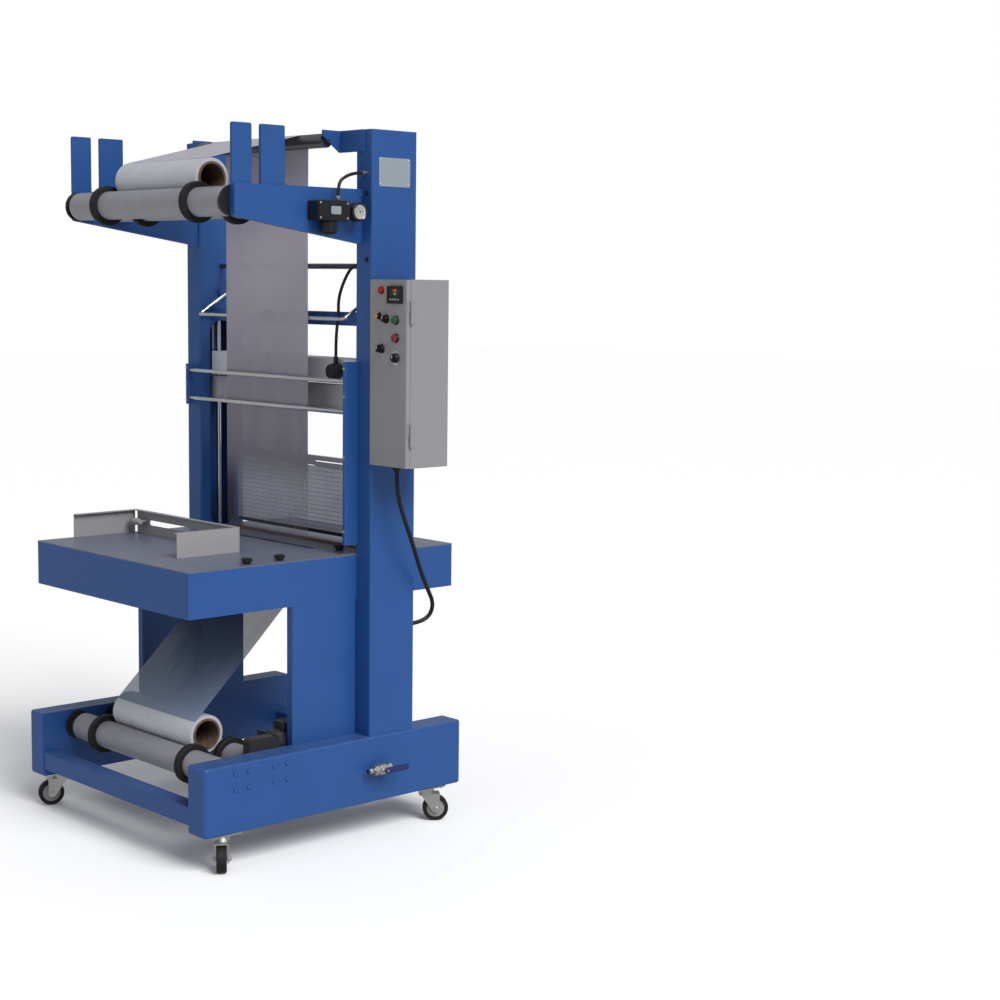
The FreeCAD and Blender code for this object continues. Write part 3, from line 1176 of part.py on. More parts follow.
def pilot_lamp(label, share, rise, radius):
    lamp = part_body(label)
    turned(lamp, "Y", (f"({post_outer} + box_depth * {share})", f"(box_bottom + {rise})"), [
        (door_front, "0"), (door_front, f"{radius} + 2"), (f"{door_front} - 3", f"{radius} + 2"),
        (f"{door_front} - 3", radius), (f"{door_front} - 8", radius), (f"{door_front} - 11", f"{radius} * 0.6"),
        (f"{door_front} - 11", "0"),
    ])
    return lamp


controller = part_body("controller")
control_x, control_z = f"({post_outer} + box_depth * 0.71)", "(box_bottom + controller_rise)"
prism(controller, "Y", f"{door_front} - 8", door_front, rectangle(
    f"{control_x} - 30", f"{control_x} + 30", f"{control_z} - 24", f"{control_z} + 24"))
softened(controller, "2.5", straight("Y"))
prism(controller, "Y", f"{door_front} - 8", f"{door_front} - 6.5", rectangle(
    f"{control_x} - 25", f"{control_x} + 25", f"{control_z} - 19", f"{control_z} + 19"), cut=True)
node(
    "door_instruments",
    controller,
    pilot_lamp("red_lamp", 0.33, "red_lamp_rise", "9"),
    pilot_lamp("amber_lamp", 0.26, "amber_lamp_rise", "9"),
    *[bezel(label, "13", "11", "5") for label in CONTROLS],
)


def push_button(label):
    button = part_body(label)
    turned(button, "Y", control_place(label), [
        (f"{door_front} + 14", "0"), (f"{door_front} + 14", "6.4"), (f"{door_front} - 5.5", "6.4"),
        (f"{door_front} - 5.5", "10.9"), (f"{door_front} - 10", "10.9"), (f"{door_front} - 11.5", "9.5"),
        (f"{door_front} - 11.5", "0"),
    ])
    node(label, button)


def selector(label, radius, grip):
    """A turning knob with a raised grip across it."""
    across, up = control_place(label)
    knob = part_body(label)
    turned(knob, "Y", (across, up), [
        (f"{door_front} + 14", "0"), (f"{door_front} + 14", "6.4"), (f"{door_front} - 5.5", "6.4"),
        (f"{door_front} - 5.5", radius), (f"{door_front} - 11", f"{radius} - 1"), (f"{door_front} - 11", "0"),
    ])
    prism(knob, "Y", f"{door_front} - 11 - {grip}", f"{door_front} - 11", rectangle(
        f"{across} - 3", f"{across} + 3", f"{up} - {radius} + 2.5", f"{up} + {radius} - 2.5"))
    softened(knob, "1.5", straight("Y", y=(f"{door_front} - 11 - {grip}", f"{door_front} - 11")))
    node(label, knob)


selector("mode_selector", "10", "6")
push_button("start_button")
push_button("stop_button")
selector("power_selector", "12", "9")
selector("timer_knob", "13", "4")

# Air supply: a regulator with its gauge on the right arm and a ball valve on the right beam.
regulator = part_body("regulator_block")
reg_inner, reg_outer = "arm_outer", "(arm_outer + regulator_x)"
prism(regulator, "X", reg_inner, reg_outer, rectangle(
    "regulator_front", "regulator_rear", "regulator_bottom", "regulator_top"))
softened(regulator, "6", straight("X"))
reg_mid_x, reg_mid_y = f"(arm_outer + regulator_x / 2)", "((regulator_front + regulator_rear) / 2)"
knob_bore = disc(reg_mid_x, reg_mid_y, "6 + fit_gap")
prism(regulator, "Z", "regulator_bottom", "regulator_bottom + 14", knob_bore, cut=True)
prism(regulator, "Y", "regulator_rear", "gauge_y", disc(reg_mid_x, "gauge_z", "6"))
reg_fitting_y = "(regulator_rear - 22)"
prism(regulator, "Z", "regulator_top", "regulator_top + 14", disc(reg_mid_x, reg_fitting_y, "7"))
gauge = part_body("gauge")
gauge_back = f"({reg_outer} - gauge_thick)"
turned(gauge, "X", ("gauge_y", "gauge_z"), [
    (gauge_back, "0"), (gauge_back, "gauge_radius - 3"), (f"{gauge_back} + 3", "gauge_radius"),
    (reg_outer, "gauge_radius"), (f"{reg_outer} + 2", "gauge_radius - 2"), (f"{reg_outer} + 2", "gauge_radius - 4"),
    (reg_outer, "gauge_radius - 4"), (reg_outer, "0"),
])
post_fitting = part_body("post_fitting")
post_fit_x, post_fit_z = "(post_inner + 43)", "(gauge_z + 108)"
prism(post_fitting, "Y", "post_front - 14", "post_front", disc(post_fit_x, post_fit_z, "8"))
node("regulator", regulator, gauge, post_fitting)

dial = part_body("regulator_dial")
dial_top = "(regulator_bottom - running_gap)"
dial_foot = f"({dial_top} - regulator_knob_height)"
turned(dial, "Z", (reg_mid_x, reg_mid_y), [
    (f"{dial_top} + 12", "0"), (f"{dial_top} + 12", "6"), (dial_top, "6"), (dial_top, "regulator_knob_radius - 2"),
    (f"{dial_top} - 3", "regulator_knob_radius"), (f"{dial_foot} + 6", "regulator_knob_radius"),
    (dial_foot, "regulator_knob_radius - 6"), (dial_foot, "0"),
])
for number in range(8):
    turn = math.radians(45 * number)
    spot_x = f"{reg_mid_x} + regulator_knob_radius * {1.02 * math.cos(turn):.4f}"
    spot_y = f"{reg_mid_y} + regulator_knob_radius * {1.02 * math.sin(turn):.4f}"
    prism(dial, "Z", f"{dial_foot} - 1", f"{dial_top} - 6", disc(spot_x, spot_y, "2.6"), cut=True)
node("regulator_knob", dial)

ball_valve = part_body("ball_valve_body")
valve_axis = "(beam_outer + valve_set)"
turned(ball_valve, "Y", (valve_axis, "valve_z"), [
    ("valve_y - valve_reach", "0"), ("valve_y - valve_reach", "11"), ("valve_y - 14", "11"),
    ("valve_y - 9", "valve_radius"), ("valve_y + 9", "valve_radius"), ("valve_y + 14", "11"),
    ("valve_y + valve_reach", "11"), ("valve_y + valve_reach", "0"),
])
for nut_start in ("valve_y - valve_reach", "valve_y + valve_reach - 12"):
    prism(ball_valve, "Y", nut_start, f"{nut_start} + 12", hexagon(valve_axis, "valve_z", 15.5))
port = disc(valve_axis, "valve_z", "7")
prism(ball_valve, "Y", "valve_y - valve_reach - 1", "valve_y - valve_reach + 16", port, cut=True)
bonnet_end = f"({valve_axis} + valve_radius + 8)"
prism(ball_valve, "X", valve_axis, bonnet_end, disc("valve_y", "valve_z", "6"))
nipple_y = "(valve_y + valve_reach - 10)"
prism(ball_valve, "X", "beam_outer", valve_axis, disc(nipple_y, "valve_z", "7"))
prism(ball_valve, "X", bonnet_end, f"{bonnet_end} + 6", disc("valve_y", "valve_z", "3.5"))
node("ball_valve", ball_valve)

lever = part_body("lever_blade")
lever_in = f"({bonnet_end} + running_gap)"
prism(lever, "X", lever_in, f"{lever_in} + 3", slot(
    "valve_y + lever_length / 2", "valve_z", "lever_length / 2", "9"))
softened(lever, "1", lambda edge: edge.Curve.TypeId in ("Part::GeomLine", "Part::GeomCircle")
         and abs(edge.CenterOfMass.x - value(f"{lever_in} + 3")) < 0.01)
prism(lever, "X", lever_in, f"{lever_in} + 3", disc("valve_y", "valve_z", "3.5 + fit_gap"), cut=True)
node("valve_lever", lever)

# Film feed: a gearbox on the shaft of the base rear roller, with its motor lying behind it.
feed_y = "(base_front_y + 2 * half_gap)"
gear_low, gear_high = f"({beam_inner} - gearbox_thick)", beam_inner
gearbox = part_body("gearbox")
prism(gearbox, "X", gear_low, gear_high, rectangle(
    f"{feed_y} - gearbox_width / 2", f"{feed_y} + gearbox_width / 2",
    "base_roller_z - gearbox_width / 2", "base_roller_z - gearbox_width / 2 + gearbox_height"))
softened(gearbox, "10", straight("X"))
prism(gearbox, "X", gear_low, gear_high, disc(feed_y, "base_roller_z", "shaft_radius + fit_gap"), cut=True)
motor_z = "(base_roller_z - gearbox_width / 2 + gearbox_height - motor_radius)"
motor = part_body("motor")
gear_rear = f"({feed_y} + gearbox_width / 2)"
motor_start = f"({gear_rear} + motor_flange)"
motor_end = f"({motor_start} + motor_length)"
turned(motor, "Y", ("motor_x", motor_z), [
    (motor_start, "0"), (motor_start, "motor_radius - 6"), (f"{motor_start} + 8", "motor_radius - 6"),
    (f"{motor_start} + 8", "motor_radius"), (f"{motor_end} - 22", "motor_radius"),
    (f"{motor_end} - 18", "motor_radius - 3"), (f"{motor_end} - 4", "motor_radius - 3"),
    (motor_end, "motor_radius - 8"), (motor_end, "0"),
])
flange = block("motor_plate", "motor_x - motor_radius", beam_inner, gear_rear,
               motor_start, f"{motor_z} - motor_radius", f"{motor_z} + motor_radius")
case_middle = f"({motor_start} + motor_length * 0.45)"
case = part_body("motor_terminal_case")
prism(case, "Z", f"{motor_z} + motor_radius - 1", f"{motor_z} + motor_radius + 22", rectangle(
    "motor_x - motor_case * 0.4", "motor_x + motor_case * 0.4",
    f"{case_middle} - motor_case / 2", f"{case_middle} + motor_case / 2"))
softened(case, "4", straight("Z"))
node("feed_motor", fused("feed_drive", gearbox, motor, flange, case))


# Film webs: thin sheets that follow the tangents between the rolls, the idler and the bar.
def sheet_solid(name, outline_near, outline_far):
    """A sheet of the film's width between two outlines of the same kind, one on each face."""
    start_cap = Part.LineSegment(outline_near[-1].EndPoint, outline_far[-1].EndPoint).toShape()
    end_cap = Part.LineSegment(outline_far[0].StartPoint, outline_near[0].StartPoint).toShape()
    edges = [curve.toShape() for curve in outline_near] + [start_cap]
    edges += [curve.toShape() for curve in reversed(outline_far)] + [end_cap]
    face = Part.Face(Part.Wire(Part.__sortEdges__(edges)))
    feature = doc.addObject("Part::Feature", name)
    width = value("film_half")
    face.translate(Vector(-width, 0, 0))
    feature.Shape = face.extrude(Vector(2 * width, 0, 0))
    return feature


def yz(point):
    return Vector(0, point[0], point[1])


def on_circle(centre, radius, angle):
    return (centre[0] + radius * math.cos(angle), centre[1] + radius * math.sin(angle))


def upper_outline(offset):
    """From the top of the upper film roll over the idler and straight down to the deck."""
    roll = (value(top_roll_y), value(top_roll_z))
    turn = (value(idler_y), value("idler_z"))
    roll_radius = value("film_roll_radius + running_gap") + offset
    turn_radius = value("idler_radius + running_gap / 10") + offset
    apart = math.dist(roll, turn)
    heading = math.atan2(turn[1] - roll[1], turn[0] - roll[0])
    tilt = heading + math.acos((roll_radius - turn_radius) / apart)
    leave = on_circle(roll, roll_radius, tilt)
    meet = on_circle(turn, turn_radius, tilt)
    over = on_circle(turn, turn_radius, tilt / 2)
    down = on_circle(turn, turn_radius, 0)
    deck = (down[0], value("table_height"))
    return [Part.LineSegment(yz(leave), yz(meet)), Part.Arc(yz(meet), yz(over), yz(down)),
            Part.LineSegment(yz(down), yz(deck))]


def lower_outline(offset):
    """From the deck down behind the bar, round it and forward to the top of the base film roll."""
    roll = (value(base_roll_y), value(base_roll_z))
    turn = (value(bar_y), value(bar_z))
    roll_radius = value("film_roll_radius + running_gap + film_thick") - offset
    turn_radius = value("guide_bar_radius + running_gap / 10") + offset
    apart = math.dist(roll, turn)
    heading = math.atan2(turn[1] - roll[1], turn[0] - roll[0])
    tilt = heading - math.acos((turn_radius + roll_radius) / apart) + math.pi
    leave = on_circle(roll, roll_radius, tilt - math.pi + 2 * math.acos((turn_radius + roll_radius) / apart))
    meet = on_circle(turn, turn_radius, tilt + 2 * math.acos((turn_radius + roll_radius) / apart))
    low = math.atan2(meet[1] - turn[1], meet[0] - turn[0])
    down = on_circle(turn, turn_radius, 0)
    round_off = on_circle(turn, turn_radius, low / 2)
    deck = (down[0], value("table_height"))
    return [Part.LineSegment(yz(deck), yz(down)), Part.Arc(yz(down), yz(round_off), yz(meet)),
            Part.LineSegment(yz(meet), yz(leave))]


node("upper_web", sheet_solid("upper_film", upper_outline(0), upper_outline(value("film_thick"))))
node("lower_web", sheet_solid("lower_film", lower_outline(0), lower_outline(value("film_thick"))))


# Bent bars and hoses: straight runs joined by arcs that touch both.
def bent_route(points, radius_of):
    """The edges of a route through the points, with an arc at each inner point."""
    edges, reached = [], points[0]
    for before, at, after in zip(points, points[1:], points[2:]):
        come, go = (at - before), (after - at)
        turn = come.getAngle(go)
        radius = radius_of(come.Length, go.Length, turn)
        setback = radius * math.tan(turn / 2)
        start = at - Vector(come).normalize() * setback
        end = at + Vector(go).normalize() * setback
        inward = (Vector(go).normalize() - Vector(come).normalize()).normalize()
        middle = at + inward * (radius / math.cos(turn / 2) - radius)
        edges.append(Part.LineSegment(reached, start).toShape())
        edges.append(Part.Arc(start, middle, end).toShape())
        reached = end
    edges.append(Part.LineSegment(reached, points[-1]).toShape())
    return edges


def tube(name, points, radius, radius_of):
    path = Part.Wire(bent_route(points, radius_of))
    ring = Part.Wire(Part.Circle(points[0], points[1] - points[0], radius).toShape())
    feature = doc.addObject("Part::Feature", name)
    feature.Shape = path.makePipeShell([ring], True, True)
    expected = math.pi * radius ** 2 * path.Length
    if abs(feature.Shape.Volume - expected) > 0.01 * expected:
        raise ValueError(f"{name} has a volume of {feature.Shape.Volume:.0f}, not {expected:.0f}")
    return feature


def free_bend(before, after, turn):
    return 0.45 * min(before, after) / math.tan(turn / 2)


bail_reach = value("bail_half + bail_radius + 2")
bail_route = [
    Vector(value("post_inner - 1"), value("seal_y"), value("bail_pivot_z")),
    Vector(bail_reach, value("seal_y"), value("bail_pivot_z")),
    Vector(bail_reach, value(bail_y), value("bail_z")),
    Vector(-bail_reach, value(bail_y), value("bail_z")),
    Vector(-bail_reach, value("seal_y"), value("bail_pivot_z")),
    Vector(-value("post_inner - 1"), value("seal_y"), value("bail_pivot_z")),
]
node("dancer_bail", tube("bent_bail", bail_route, value("bail_radius"), lambda *runs: 10))

hose_radius, cable_radius = value("hose_radius"), value("cable_radius")
reg_top = Vector(value(reg_mid_x), value(reg_fitting_y), value("regulator_top + 14"))
post_port = Vector(value(post_fit_x), value("post_front - 14"), value(post_fit_z))
regulator_route = [
    reg_top, reg_top + Vector(0, 0, 26), reg_top + Vector(-2, 14, 48),
    post_port + Vector(0, -26, 0), post_port,
]
valve_top = Vector(value(valve_x), value(fitting_y), value(f"{cover_top} + 6"))
wall_port = Vector(value("post_inner"), value(fitting_y), value("tie_z") + 6)
jaw_route = [
    wall_port, wall_port + Vector(-44, 0, 0), wall_port + Vector(-84, 0, -40), wall_port + Vector(-114, 0, -96),
    valve_top + Vector(12, 0, 118), valve_top + Vector(0, 0, 60), valve_top,
]
gland_foot = Vector(value(gland_x), value(gland_y), value("box_bottom - 16"))
cable_end = Vector(value(f"{post_outer} - cable_inset"), value(post_rear), value("box_bottom - cable_drop"))
fall = gland_foot.z - cable_end.z
CABLE_SWING = [(0.13, 0, 0), (0.28, 6, 20), (0.45, 4, 55), (0.62, -14, 98), (0.76, -40, 148)]
cable_route = [gland_foot]
cable_route += [gland_foot + Vector(aside, behind, -share * fall) for share, aside, behind in CABLE_SWING]
cable_route += [cable_end + Vector(20, 78, 48), cable_end + Vector(0, 62, 0), cable_end]
node("regulator_hose", tube("regulator_tube", regulator_route, hose_radius, free_bend))
node("jaw_hose", tube("jaw_tube", jaw_route, hose_radius, free_bend))
node("control_cable", tube("cable_tube", cable_route, cable_radius, free_bend))
for name, route in (("regulator hose", regulator_route), ("jaw hose", jaw_route), ("cable", cable_route)):
    runs = [after - before for before, after in zip(route, route[1:])]
    pairs = zip(runs, runs[1:])
    bends = [free_bend(run.Length, following.Length, run.getAngle(following)) for run, following in pairs]
    length = Part.Wire(bent_route(route, free_bend)).Length
    print(name, "radii", [round(bend) for bend in bends], "length", round(length))

doc.recompute()
for thing in doc.Objects:
    if any(word in thing.State for word in ("Invalid", "Error")):
        raise ValueError(thing.Name + " did not build")
for made in NODES:
    if made.Shape.isNull() or not made.Shape.isValid():
        raise ValueError(made.Label + " has no valid shape")

os.makedirs("parts", exist_ok=True)
for made in NODES:
    made.Shape.exportStep(f"parts/{made.Label}.step")
print(len(NODES), "parts written")
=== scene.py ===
# %% [markdown]
# # A web sealer
# This lesson dresses a packaging machine: a blue steel frame on casters, two rolls of shrink film
# on roller cradles, a curtain of film between two posts, a heated jaw that falls behind the goods,
# and a control box on the right-hand post. The shapes that carry load come ready made as a frame.
# Each cell adds finishes and the small things that make a machine look real.

# %% Load the frame
import bpy
import json
import math
from mathutils import Matrix, Vector


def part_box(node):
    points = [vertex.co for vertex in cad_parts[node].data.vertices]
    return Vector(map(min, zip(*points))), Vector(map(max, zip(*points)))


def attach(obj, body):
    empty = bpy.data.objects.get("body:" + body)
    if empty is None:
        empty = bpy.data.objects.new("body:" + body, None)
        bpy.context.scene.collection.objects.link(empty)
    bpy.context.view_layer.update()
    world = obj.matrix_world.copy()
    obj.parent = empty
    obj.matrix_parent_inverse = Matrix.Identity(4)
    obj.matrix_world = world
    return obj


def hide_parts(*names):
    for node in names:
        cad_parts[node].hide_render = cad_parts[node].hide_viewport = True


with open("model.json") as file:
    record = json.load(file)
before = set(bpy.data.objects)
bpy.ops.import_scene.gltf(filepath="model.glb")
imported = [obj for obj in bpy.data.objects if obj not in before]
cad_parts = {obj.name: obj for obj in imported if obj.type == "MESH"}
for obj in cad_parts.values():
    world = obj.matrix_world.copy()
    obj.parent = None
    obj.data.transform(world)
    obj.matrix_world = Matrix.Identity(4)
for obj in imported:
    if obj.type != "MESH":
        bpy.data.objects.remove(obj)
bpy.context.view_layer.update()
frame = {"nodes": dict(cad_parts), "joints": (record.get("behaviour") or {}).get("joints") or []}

# %% [markdown]
# ## The camera
# The photograph was taken by someone standing to the machine's right and in front of it, with the
# camera at about eye height and tilted a few degrees down. The place and the lens come from the
# machine's straight edges: their vanishing points give the direction, their lengths the distance.

# %% Camera
EYE = Vector((4.43785, -3.1840, 1.5818))
YAW, PITCH, ROLL = 0.8209, 0.1152, 0.0125
LENS = 67.3

look = Vector((-math.sin(YAW) * math.cos(PITCH), math.cos(YAW) * math.cos(PITCH), -math.sin(PITCH)))
flat_right = Vector((math.cos(YAW), math.sin(YAW), 0))
flat_up = flat_right.cross(look)
right = flat_right * math.cos(ROLL) + flat_up * math.sin(ROLL)
up = flat_up * math.cos(ROLL) - flat_right * math.sin(ROLL)
camera_data = bpy.data.cameras.new("camera")
camera_data.sensor_width = 36
camera_data.lens = LENS
camera_data.clip_end = 200
camera = bpy.data.objects.new("camera", camera_data)
bpy.context.scene.collection.objects.link(camera)
camera.matrix_world = Matrix((
    (right.x, up.x, -look.x, EYE.x),
    (right.y, up.y, -look.y, EYE.y),
    (right.z, up.z, -look.z, EYE.z),
    (0, 0, 0, 1),
))
bpy.context.scene.camera = camera
print("camera looks along", [round(v, 3) for v in look])

# %% [markdown]
# ## Floor and light
# A pale floor and a white world stand in for a photographer's paper sweep. The world is white where
# it is seen and weaker as a light, so that faces turned away from the key light stay deep. The key is
# a sun behind a wide diffuser on the machine's right: it lights the right-hand faces and the whole
# floor evenly. A weak panel fills the operator's side.

# %% Floor and lights
bpy.ops.object.select_all(action="DESELECT")
bpy.ops.mesh.primitive_plane_add(size=60, location=(0, 0, 0))
floor = bpy.context.object
floor.name = "floor"
floor_paint = bpy.data.materials.new("pale_floor")
floor_paint.use_nodes = True
floor_shader = floor_paint.node_tree.nodes["Principled BSDF"]
floor_shader.inputs["Base Color"].default_value = (0.93, 0.93, 0.93, 1)
floor_shader.inputs["Roughness"].default_value = 0.7
floor.data.materials.append(floor_paint)
floor.visible_glossy = False

world = bpy.data.worlds.new("studio")
bpy.context.scene.world = world
world.use_nodes = True
world_nodes, world_links = world.node_tree.nodes, world.node_tree.links
seen_white = world_nodes["Background"]
seen_white.inputs["Color"].default_value = (1, 1, 1, 1)
soft_sky = world_nodes.new("ShaderNodeBackground")
soft_sky.inputs["Color"].default_value = (0.97, 0.98, 1.0, 1)
soft_sky.inputs["Strength"].default_value = 0.42
which_ray = world_nodes.new("ShaderNodeLightPath")
either = world_nodes.new("ShaderNodeMixShader")
world_links.new(which_ray.outputs["Is Camera Ray"], either.inputs[0])
world_links.new(soft_sky.outputs[0], either.inputs[1])
world_links.new(seen_white.outputs[0], either.inputs[2])
world_links.new(either.outputs[0], world_nodes["World Output"].inputs["Surface"])
bpy.context.scene.view_settings.view_transform = "Standard"


def soft_panel(name, place, aim, size, power):
    light_data = bpy.data.lights.new(name, "AREA")
    light_data.shape = "SQUARE"
    light_data.size = size
    light_data.energy = power
    lamp = bpy.data.objects.new(name, light_data)
    bpy.context.scene.collection.objects.link(lamp)
    lamp.location = place
    lamp.rotation_mode = "QUATERNION"
    lamp.rotation_quaternion = (Vector(aim) - Vector(place)).to_track_quat("-Z", "Y")


MIDDLE = (0, 0, 1.0)
KEY_FROM = Vector((1.0, -0.06, 0.95))
key_data = bpy.data.lights.new("key", "SUN")
key_data.energy = 3.3
key_data.angle = math.radians(35)
key = bpy.data.objects.new("key", key_data)
bpy.context.scene.collection.objects.link(key)
key.rotation_mode = "QUATERNION"
key.rotation_quaternion = KEY_FROM.to_track_quat("Z", "Y")
soft_panel("fill", (0.5, -5.0, 2.4), MIDDLE, 3.0, 18)

# %% [markdown]
# ## How a finish is written
# A finish is a Principled shader whose colour, roughness and bump follow noise in the object's own
# coordinates. Shader maths is easier to read as ordinary expressions, so a small class wraps a
# socket and adds a Math node for each operator.

# %% Finish builder
class Signal:
    def __init__(self, finish, socket):
        self.finish = finish
        self.socket = socket

    def combine(self, operation, first, second):
        return self.finish.node("ShaderNodeMath", {"operation": operation}, {0: first, 1: second})

    def __add__(self, other):
        return self.combine("ADD", self, other)

    def __radd__(self, other):
        return self.combine("ADD", other, self)

    def __sub__(self, other):
        return self.combine("SUBTRACT", self, other)

    def __rsub__(self, other):
        return self.combine("SUBTRACT", other, self)

    def __mul__(self, other):
        return self.combine("MULTIPLY", self, other)

    def __rmul__(self, other):
        return self.combine("MULTIPLY", other, self)

    def __gt__(self, other):
        return self.combine("GREATER_THAN", self, other)

    def __lt__(self, other):
        return self.combine("LESS_THAN", self, other)


class Finish:
    """A Principled material. Constants are set on the shader, varying inputs are fed to it."""

    def __init__(self, name, **constants):
        self.material = bpy.data.materials.new(name)
        self.material.use_nodes = True
        self.tree = self.material.node_tree
        self.shader = self.tree.nodes["Principled BSDF"]
        for key, amount in constants.items():
            label = "IOR" if key == "ior" else key.replace("_", " ").title()
            self.shader.inputs[label].default_value = amount

    def plug(self, socket, what):
        if isinstance(what, Signal):
            self.tree.links.new(what.socket, socket)
        else:
            socket.default_value = what

    def node(self, kind, settings=None, values=None, output=0):
        made = self.tree.nodes.new(kind)
        for key, setting in (settings or {}).items():
            setattr(made, key, setting)
        for key, what in (values or {}).items():
            self.plug(made.inputs[key], what)
        return Signal(self, made.outputs[output])

    def feed(self, name, what):
        self.plug(self.shader.inputs[name], what)

    def place(self):
        return self.node("ShaderNodeTexCoord", output="Object")

    def noise(self, scale, detail=2, stretch=None):
        where = self.place()
        if stretch:
            where = self.node("ShaderNodeMapping", values={"Vector": where, "Scale": stretch})
        return self.node("ShaderNodeTexNoise",
                         values={"Vector": where, "Scale": scale, "Detail": detail})

    def axis(self, letter):
        return self.node("ShaderNodeSeparateXYZ", values={0: self.place()}, output=letter)

    def blend(self, factor, first, second):
        """A colour between two, by a factor."""
        made = self.tree.nodes.new("ShaderNodeMix")
        made.data_type = "RGBA"
        self.plug(made.inputs[0], factor)
        for socket, what in ((made.inputs[6], first), (made.inputs[7], second)):
            self.plug(socket, what if isinstance(what, Signal) else (*what, 1))
        return Signal(self, made.outputs[2])

    def relief(self, height, strength, distance):
        bump = self.node("ShaderNodeBump",
                         values={"Height": height, "Strength": strength, "Distance": distance})
        self.feed("Normal", bump)


print("finish builder ready")

# %% [markdown]
# ## Paint
# The frame is sheet steel with powder coat. Powder coat is never mirror smooth: it has a fine
# orange-peel relief, slow changes of shade where it went on thicker, and dust on faces that look up.
# The blue frame, the grey control box and the pale table pieces are the same recipe in three colours.

# %% Paint finishes
def paint(name, colour, shade, rough, peel=0.12, dust=0.10):
    coat = Finish(name, metallic=0.0, coat_roughness=0.25, ior=1.38)
    patches = coat.noise(5.0, 3)
    smudges = coat.noise(42.0, 4)
    tone = coat.blend(patches, colour, shade)
    normal = coat.node("ShaderNodeNewGeometry", output="Normal")
    upward = coat.node("ShaderNodeSeparateXYZ", values={0: normal}, output="Z")
    film_of_dust = (upward > 0.7) * smudges * dust
    coat.feed("Base Color", coat.blend(film_of_dust, tone, (0.42, 0.41, 0.39)))
    coat.feed("Roughness", rough + 0.16 * smudges + film_of_dust)
    coat.feed("Coat Weight", 0.12 - 0.09 * smudges)
    coat.relief(coat.noise(620.0, 2), peel, 0.0004)
    return coat.material


BLUE = paint("blue_powder_coat", (0.016, 0.069, 0.232), (0.012, 0.057, 0.198), 0.30)
# The deck coat is its own grey-blue tone, made lighter as a painted sheen that stands in for the deck's
# reflections.
DECK = paint("deck_coat_with_painted_sheen", (0.078, 0.098, 0.160), (0.096, 0.106, 0.145), 0.22, dust=0.12)
GREY = paint("grey_powder_coat", (0.220, 0.213, 0.222), (0.200, 0.194, 0.202), 0.38)
PALE = paint("pale_grey_powder_coat", (0.285, 0.282, 0.290), (0.255, 0.252, 0.258), 0.38)
# The jaw cover, exit rail and top of the flap are the pusher's pale grey; this copy is about twice as light,
# painted light on parts that sit in shade.
COVER = paint("pale_coat_with_painted_light", (0.57, 0.58, 0.61), (0.52, 0.53, 0.56), 0.36)
CASTING = paint("black_casting_paint", (0.020, 0.020, 0.022), (0.014, 0.014, 0.016), 0.42, peel=0.3)
print("paints:", BLUE.name, GREY.name, PALE.name)

# %% [markdown]
# ## Metals
# Zinc plate is dull with a faint crystal pattern. Anodised bars are less mirror-like than bare
# steel. Ground shafts carry fine rings round their axis, and an extruded bar carries fine lines
# along it. Stretching the noise gives both directions.

# %% Metal finishes
GRAIN = 0.05


def metal(name, colour, rough, stretch=(1, 1, 1), scale=260.0, metallic=1.0):
    bare = Finish(name, metallic=metallic)
    lines = bare.noise(scale, 3, stretch)
    clouds = bare.noise(11.0, 2)
    darker = tuple(part * 0.78 for part in colour)
    bare.feed("Base Color", bare.blend(clouds, colour, darker))
    bare.feed("Roughness", rough + 0.14 * lines + 0.05 * clouds)
    bare.relief(lines, GRAIN, 0.0003)
    return bare.material


ZINC = metal("zinc_plate", (0.62, 0.62, 0.60), 0.30, scale=90.0)
POLISHED = metal("polished_rod", (0.78, 0.78, 0.79), 0.10, stretch=(0.02, 1, 1), scale=700.0)
EXTRUDED = metal("extruded_aluminium", (0.70, 0.70, 0.72), 0.42,
                 stretch=(0.01, 1, 1), scale=800.0, metallic=0.6)
NICKEL = metal("nickel_brass", (0.62, 0.61, 0.58), 0.22, scale=150.0)
DARK_STEEL = metal("dark_ground_steel", (0.20, 0.20, 0.21), 0.28, stretch=(0.02, 1, 1), scale=600.0)
GALVANISED = metal("galvanised_sheet", (0.58, 0.59, 0.60), 0.38, scale=34.0)
print("metals ready")

# %% [markdown]
# ## Rubber, plastics and card
# Moulded black parts have a fine spark texture, rubber is duller and picks up grey dust, and the
# roll cores are spiral-wound brown card.

# %% Plastic, rubber and card finishes
def plastic(name, colour, rough, texture=0.15, scale=900.0, **more):
    moulded = Finish(name, **more)
    specks = moulded.noise(scale, 2)
    wear = moulded.noise(24.0, 3)
    lighter = tuple(min(1, part * 1.25 + 0.003) for part in colour)
    moulded.feed("Base Color", moulded.blend(wear, colour, lighter))
    moulded.feed("Roughness", rough + 0.12 * wear)
    moulded.relief(specks, texture, 0.0002)
    return moulded.material


BLACK = plastic("black_moulding", (0.006, 0.006, 0.007), 0.36, ior=1.38)
RUBBER = plastic("black_rubber", (0.007, 0.006, 0.007), 0.55, scale=400.0, ior=1.33)
ROLLER_GREY = plastic("grey_roller_sleeve", (0.178, 0.180, 0.197), 0.42, scale=300.0)
SHEATH = plastic("cable_sheath", (0.006, 0.006, 0.008), 0.45, ior=1.38)
RED = plastic("red_moulding", (0.16, 0.010, 0.010), 0.25)
NAVY = plastic("navy_sleeve", (0.008, 0.014, 0.075), 0.22)
GREEN = plastic("green_moulding", (0.007, 0.070, 0.024), 0.25)
CREAM = plastic("cream_moulding", (0.62, 0.60, 0.54), 0.40)
MODULE = plastic("grey_module", (0.20, 0.20, 0.21), 0.42)
SILICONE = plastic("silicone_strip", (0.075, 0.030, 0.022), 0.55)
RED_LENS = plastic("red_lens", (0.30, 0.008, 0.008), 0.12, texture=0.02, transmission_weight=0.3)
AMBER_LENS = plastic("amber_lens", (0.72, 0.26, 0.02), 0.12, texture=0.02, transmission_weight=0.3)
WHITE = plastic("white_dial", (0.80, 0.80, 0.78), 0.45, texture=0.02)
